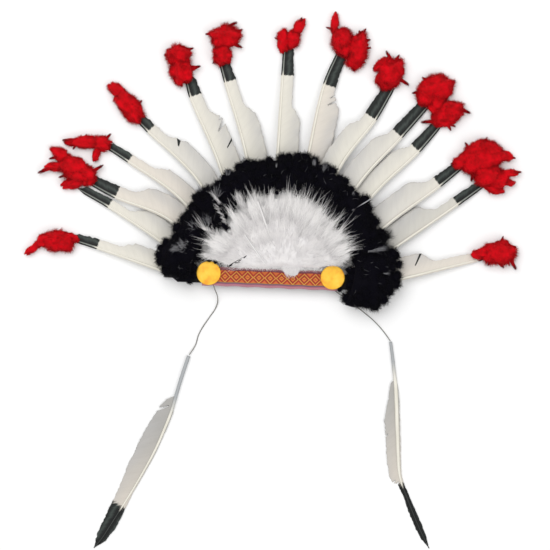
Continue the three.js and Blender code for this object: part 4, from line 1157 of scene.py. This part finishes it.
whiteShade = [   # painted shade: dark grey hairs where the white lies in shade: x, y, turn, spread, length, count
    (-22, 66, 118, 1.5, 15, 60), (-3, 62, 96, 2, 16, 60), (-8, 82, 80, 2.5, 14, 50),
    (-34, 88, 110, 5, 12, 50), (-43.5, 49, 130, 1.2, 9, 70), (-26, 72, 118, 2, 12, 90),
    (-30, 80, 118, 3, 12, 120), (-34, 87, 115, 4, 12, 90), (-13.5, 86, 95, 1.2, 14, 60),
    (-66, 24, 150, 4, 14, 40), (-58, 20, 165, 3, 12, 40), (78, 22, 20, 4, 12, 30), (60, 60, 40, 5, 14, 30)]


def whiteBarbs(rng, first, last, spec):
    # long barbs in bunches that lie one over the other and sweep outward
    count, bunches = spec["strands"], spec["bunches"]
    at = rng.uniform(first, last, bunches)
    start = rng.uniform(0, 0.88, bunches)
    lean = rng.normal(0, math.radians(15), bunches)
    tone = rng.uniform(0, 0.7, bunches)
    # painted shade: some bunches near the rim are made grey
    rimShadeShare = columnsAt(whiteRimShade, at)[0]
    grey = rng.random(bunches) < rimShadeShare * smoothStep(0, 0.6, start)
    tone[grey] = rng.uniform(1.1, 1.24, grey.sum())
    mine = rng.integers(0, bunches, count)
    bearing = np.clip(at[mine] + rng.normal(0, 3, count), spec["from"], spec["to"])
    share = np.clip(start[mine] + rng.normal(0, 0.1, count), 0, 0.97)
    x, y, height = padPoint(bearing, share, spec)
    roots = np.stack([x, y, spec["floor"] + height * rng.uniform(0.65, 1, count)], axis=1)
    ways = turned(outward(x, y), lean[mine] + rng.normal(0, math.radians(9), count))
    ways[:, 2] = np.clip(rng.normal(0.1, 0.1, count), -0.2, 0.22) - 0.15 * smoothStep(0.5, 1, share)
    bends = rng.normal(0, 0.16, (count, 3))
    bends[:, 2] -= 0.1
    tints = np.clip(tone[mine] + rng.normal(0, 0.05, count), 0, 1.25)
    lengths = rng.uniform(*spec["length"], count) * (1 - 0.6 * smoothStep(0.55, 0.95, share))
    return [roots, ways, bends, lengths, np.full(count, spec["radius"]), tints]


def edgeHairs(rng, first, last, spec):
    # long thin hairs in bunches that rise and reach out over the black
    count, bunches = spec["edgeHairs"], spec["edgeBunches"]
    at = rng.uniform(first, last, bunches)
    longer = rng.uniform(0.45, 1.25, bunches)
    lean = rng.normal(0, math.radians(13), bunches)
    mine = rng.integers(0, bunches, count)
    bearing = np.clip(at[mine] + rng.normal(0, 0.7, count), spec["from"], spec["to"])
    share = rng.uniform(*spec["edgeFrom"], count)
    x, y, height = padPoint(bearing, share, spec)
    inner, outer, _ = padSize(bearing, spec)
    reach = columnsAt(whiteReach, bearing)[0] * longer[mine]
    lengths = 0.75 * (1 - share) * (outer - inner) + reach * rng.uniform(0, 1.15, count)
    roots = np.stack([x, y, np.maximum(spec["floor"] + height, spec["edgeLowest"])], axis=1)
    ways = turned(outward(x, y), lean[mine] + rng.normal(0, math.radians(5), count))
    tops = rng.uniform(*spec["edgeTops"], count)
    rise = np.clip(2 * (tops - roots[:, 2]) / lengths, 0.1, 0.8)
    ways[:, 2] = rise
    bends = rng.normal(0, 0.14, (count, 3))
    bends[:, 2] -= rise
    strong = rng.random(count) < spec["strongShare"]
    tints = np.where(strong, rng.uniform(0.6, 1.1, count), rng.uniform(1.0, 1.3, count))
    lengths = lengths * np.where(strong, 1.15, 0.75)
    return [roots, ways, bends, lengths, np.where(strong, *spec["hairRadii"]), tints]


def rowHairs(rng, start, end, turn, spread, length, count, low=37, high=40):
    # thin hairs that stand along a line
    share = rng.random(count)
    roots = np.stack([start[0] + (end[0] - start[0]) * share, start[1] + (end[1] - start[1]) * share,
                      rng.uniform(low, high, count)], axis=1)
    roots[:, :2] += rng.normal(0, 0.8, (count, 2))
    ways = headings(turn + rng.normal(0, spread, count), rng.normal(0, 0.04, count))
    lengths = length * rng.uniform(0.4, 1.15, count)
    bends = rng.normal(0, 0.2, (count, 3))
    return [roots, ways, bends, lengths, np.full(count, 0.13), rng.uniform(0.6, 1.25, count)]


def gapShare(x, y):
    # the share of hairs that may lie over each point: 1 outside the gaps between the plumes
    keep = np.ones(np.shape(x))
    for x0, y0, w0, x1, y1, w1, crossing in whiteGaps:
        length = math.hypot(x1 - x0, y1 - y0)
        ux, uy = (x1 - x0) / length, (y1 - y0) / length
        along = ((x - x0) * ux + (y - y0) * uy) / length
        off = abs((y - y0) * ux - (x - x0) * uy)
        inside = (along > 0) & (along < 1.4) & (off < w0 + (w1 - w0) * along)
        keep = np.where(inside, np.minimum(keep, crossing), keep)
    return keep


def offGaps(rng, strands):
    # leaves out the strands that would cross a gap
    roots, ways, lengths = strands[0], unit(strands[1]), strands[3]
    chance = rng.random(len(roots))
    clear = np.full(len(roots), True)
    for share in (0, 0.2, 0.4, 0.6, 0.8, 1):
        place = roots + ways * (share * lengths)[:, None]
        clear &= gapShare(place[:, 0], place[:, 1]) > chance
    return [part[clear] for part in strands]


def shadeStrands(rng, x, y, turn, spread, length, count):
    # dark grey hairs on top of the white, painted shade
    roots = np.array([x, y, whiteSpec["shadeZ"]]) + rng.normal(0, 0.5, (count, 3)) * [spread, spread, 1]
    ways = headings(turn + rng.normal(0, 10, count), rng.normal(0.02, 0.05, count))
    tints = rng.uniform(1.1, 1.35, count)
    bends = rng.normal(0, 0.2, (count, 3))
    lengths = length * rng.uniform(0.5, 1, count)
    return [roots, ways, bends, lengths, np.full(count, whiteSpec["shadeRadius"]), tints]


def buildWhitePlumes():
    spec = whiteSpec
    step = (spec["to"] - spec["from"]) / spec["count"]
    for i in range(spec["count"]):
        rng = np.random.default_rng(700 + i)
        first = spec["from"] + i * step
        last = first + step
        number = spec["count"] - i
        bm = newBody()
        padBody(bm, first, last, spec)
        for v in bm.verts:
            if gapShare(v.co.x / mm, v.co.y / mm) < 1:
                v.co.z = min(v.co.z, (spec["floor"] + spec["gapHeight"]) * mm)
        sets = [offGaps(rng, whiteBarbs(rng, first, last, spec)),
                offGaps(rng, edgeHairs(rng, first, last, spec))]
        sets += [shadeStrands(rng, *shade) for shade in whiteShade if first <= bearingOf(*shade[:2]) < last]
        sets += [rowHairs(rng, *row) for row in gapHairs if first <= bearingOf(*row[0]) < last]
        if number == 3:   # the middle plume also carries the hairs over the ribbon's edge
            sets += [rowHairs(rng, *row) for row in lowHairs]
        if number in whiteQuills:
            sets.append(singleStrands(whiteQuills[number]))
        downPiece(f"white_plume_{number:02d}", "white", bm, {2: sets})


fluffSpec = {"lobe": (26.5, 5.1, 22, 12, 0), "rise": 6, "seed": 73, "scale": 0.5, "strands": 450,
             "root": (25, 13), "halfWidth": 11, "rootZ": (19, 24), "tipX": 24, "tipY": (-4, 3),
             "tipZ": (18, 21), "radius": 0.17}


def fluffHairs(rng, spec):
    # a wedge of hairs that hangs from the white over the ribbon
    count = spec["strands"]
    x, y = spec["root"]
    share = rng.uniform(-1, 1, count)
    roots = np.stack([x + spec["halfWidth"] * share, y - 2 * abs(share) + rng.normal(0, 1.5, count),
                      rng.uniform(*spec["rootZ"], count)], axis=1)
    target = np.stack([spec["tipX"] + 2 * share, rng.uniform(*spec["tipY"], count),
                       rng.uniform(*spec["tipZ"], count)], axis=1)
    ways = target - roots
    lengths = np.linalg.norm(ways, axis=1) * rng.uniform(0.5, 1, count)
    bends = rng.normal(0, 0.3, (count, 3))
    return [roots, ways, bends, lengths, np.full(count, spec["radius"]), rng.uniform(0, 0.8, count)]


def buildWhiteFluff():
    spec = fluffSpec
    bm = newBody()
    lobeBody(bm, spec["lobe"], spec["rise"], whiteSpec["floor"], spec["seed"], spec["scale"])
    hairs = fluffHairs(np.random.default_rng(790), spec)
    downPiece("white_fluff", "white", bm, {2: [hairs]})


buildBlackPlumes()
buildWhitePlumes()
buildWhiteFluff()
print("plumes done")


ribbonSpec = {"tilt": -2.3, "centreY": -1.1, "length": 156, "width": 21.8, "bottom": 12.3, "thickness": 1,
              "wave": 0.35, "waveTurn": 39.6, "ripple": 0.18, "rows": 12,   # a wavy edge, turned in radians
              "repeat": 13, "diamond": 6.2,   # a diamond every 13 mm
              "stitch": 0.65, "ribs": 480}   # stitches, ribs and picks of 0.65 mm, a little coarse
ribbonMotif = [(0.0, "#b0501a"), (0.1, "#ec8c30"), (0.24, "#ac2614"), (0.43, "#e9ab40"),
               (0.54, "#b42a16"), (0.76, "#e0722a")]
ribbonBorder = [(0.0, "#c88a98"), (0.06, "#b9707f"), (0.11, "#7a526f"), (0.185, "#a8843e"),
                (0.225, "#000000"), (0.8, "#8e3436"), (0.84, "#7e4250"), (0.9, "#9c5a64")]


def makeRibbonMaterial():
    # jacquard trim: a row of diamonds between striped borders, with warp ribs, and painted shade in the
    # grooves between ribs and picks
    spec = ribbonSpec
    material, tree, shader = newMaterial("jacquardRibbon")
    uv = addNode(tree, "UVMap", uv_map="weave").outputs["UV"]
    grid = (spec["stitch"] * mm, spec["stitch"] * mm, 1)
    stitch = addNode(tree, "VectorMath", {0: uv, 1: grid}, operation="SNAP")
    parts = addNode(tree, "SeparateXYZ", {"Vector": stitch.outputs["Vector"]})
    half = spec["repeat"] / 2 * mm
    along = addNode(tree, "Math", {0: parts.outputs["X"], 1: half}, operation="PINGPONG")
    across = addNode(tree, "Math", {0: parts.outputs["Y"]}, operation="ABSOLUTE")
    scaled = addNode(tree, "Math", {0: along.outputs[0], 1: 1 / half}, operation="MULTIPLY")
    diamond = addNode(tree, "Math",
                      {0: across.outputs[0], 1: 1 / (spec["diamond"] * mm), 2: scaled.outputs[0]},
                      operation="MULTIPLY_ADD")
    halved = addNode(tree, "Math", {0: diamond.outputs[0], 1: 0.5}, operation="MULTIPLY")
    edge = spec["width"] / 2 * mm
    edges = addNode(tree, "MapRange", {"Value": parts.outputs["Y"], "From Min": -edge, "From Max": edge})
    motif = addNode(tree, "ValToRGB", {"Fac": halved.outputs[0]}, stops=ribbonMotif)
    border = addNode(tree, "ValToRGB", {"Fac": edges.outputs[0]}, stops=ribbonBorder)
    inside = addNode(tree, "ValToRGB", {"Fac": edges.outputs[0]}, stops=[(0.0, 0), (0.225, 1), (0.8, 0)])
    for ramp in (motif, border, inside):
        ramp.color_ramp.interpolation = "CONSTANT"
    colour = addNode(tree, "Mix", {"Factor": inside.outputs["Color"], 6: border.outputs["Color"],
                                   7: motif.outputs["Color"]}, data_type="RGBA")
    ribs = addNode(tree, "TexWave", {"Vector": uv, "Scale": spec["ribs"]}, bands_direction="X")
    picks = addNode(tree, "TexWave", {"Vector": uv, "Scale": spec["ribs"]}, bands_direction="Y")
    weave = addNode(tree, "Math", {0: ribs.outputs["Fac"], 1: picks.outputs["Fac"]}, operation="MULTIPLY")
    # painted shade: where the weave is low, between ribs and picks, the colour is darkened
    shade = addNode(tree, "MapRange", {"Value": weave.outputs[0], "To Min": 0.7, "To Max": 1.0})
    final = addNode(tree, "Mix", {"Factor": 1.0, 6: colour.outputs[2], 7: shade.outputs[0]},
                    data_type="RGBA", blend_type="MULTIPLY")
    finishSurface(tree, shader, final.outputs[2], weave.outputs[0], (0.5, 0.3),
                  {"Roughness": 0.7, "Sheen Weight": 0.2})
    return material


def buildRibbon():
    spec = ribbonSpec
    bm = bmesh.new()
    uvLayer = bm.loops.layers.uv.new("weave")
    bmesh.ops.create_grid(bm, x_segments=spec["length"], y_segments=spec["rows"], size=1)
    turn = math.radians(spec["tilt"])
    flat = {}
    for v in bm.verts:
        x, y = v.co.x * spec["length"] / 2, v.co.y * spec["width"] / 2
        flat[v] = (x, y)
        y += spec["wave"] * math.sin(spec["waveTurn"] * (x / spec["length"] + 0.5) + 1) * v.co.y
        z = spec["bottom"] + spec["thickness"] + spec["ripple"] * math.sin(x / 9) * math.sin(y / 6)
        v.co = Vector((x * math.cos(turn) - y * math.sin(turn),
                       x * math.sin(turn) + y * math.cos(turn) + spec["centreY"], z)) * mm
    for face in bm.faces:
        face.smooth = True
        for loop in face.loops:
            loop[uvLayer].uv = [value * mm for value in flat[loop.vert]]
    bmesh.ops.solidify(bm, geom=bm.faces[:], thickness=spec["thickness"] * mm)
    bmesh.ops.recalc_face_normals(bm, faces=bm.faces[:])
    finishPiece("jacquard_ribbon", meshFrom(bm, "ribbon"), "woven_ribbon", [makeRibbonMaterial()])


hiddenCloths = {   # node: slot, material, two tones, how much it is ribbed
    "backing_band": ("felt", "woolFelt", ("#060507", "#100f12"), 0.0),
    "back_strap": ("elastic", "elasticWebbing", ("#151517", "#2a2a2d"), 0.8)}


def makeClothMaterial(name, tones, ribbed):
    # plain cloth for the parts behind: felt fibres of 1 mm, or elastic ribs 1 mm apart
    material, tree, shader = newMaterial(name)
    place = addNode(tree, "TexCoord").outputs["Object"]
    fibre = addNode(tree, "TexNoise", {"Vector": place, "Scale": 900, "Detail": 3})
    ribs = addNode(tree, "TexWave", {"Vector": place, "Scale": 300}, bands_direction="Y")
    height = addNode(tree, "Mix", {"Factor": ribbed, 2: fibre.outputs["Fac"], 3: ribs.outputs["Fac"]})
    tone = addNode(tree, "ValToRGB", {"Fac": height.outputs[0]}, stops=[(0.2, tones[0]), (0.8, tones[1])])
    finishSurface(tree, shader, tone.outputs["Color"], height.outputs[0], (0.4, 0.4), {"Roughness": 0.85})
    return material


def dressHiddenCloths():
    for node, (slot, name, tones, ribbed) in hiddenCloths.items():
        material = makeClothMaterial(name, tones, ribbed)
        piece = frame["nodes"][node]
        for entry in piece.material_slots:
            entry.material = material


buildRibbon()
buildDiscs()
dressHiddenCloths()
print("headband done")

triangles = sum(len(face.vertices) - 2 for piece in bpy.data.objects if piece.type == "MESH"
                and not piece.hide_render for face in piece.data.polygons)
print("triangles", triangles)
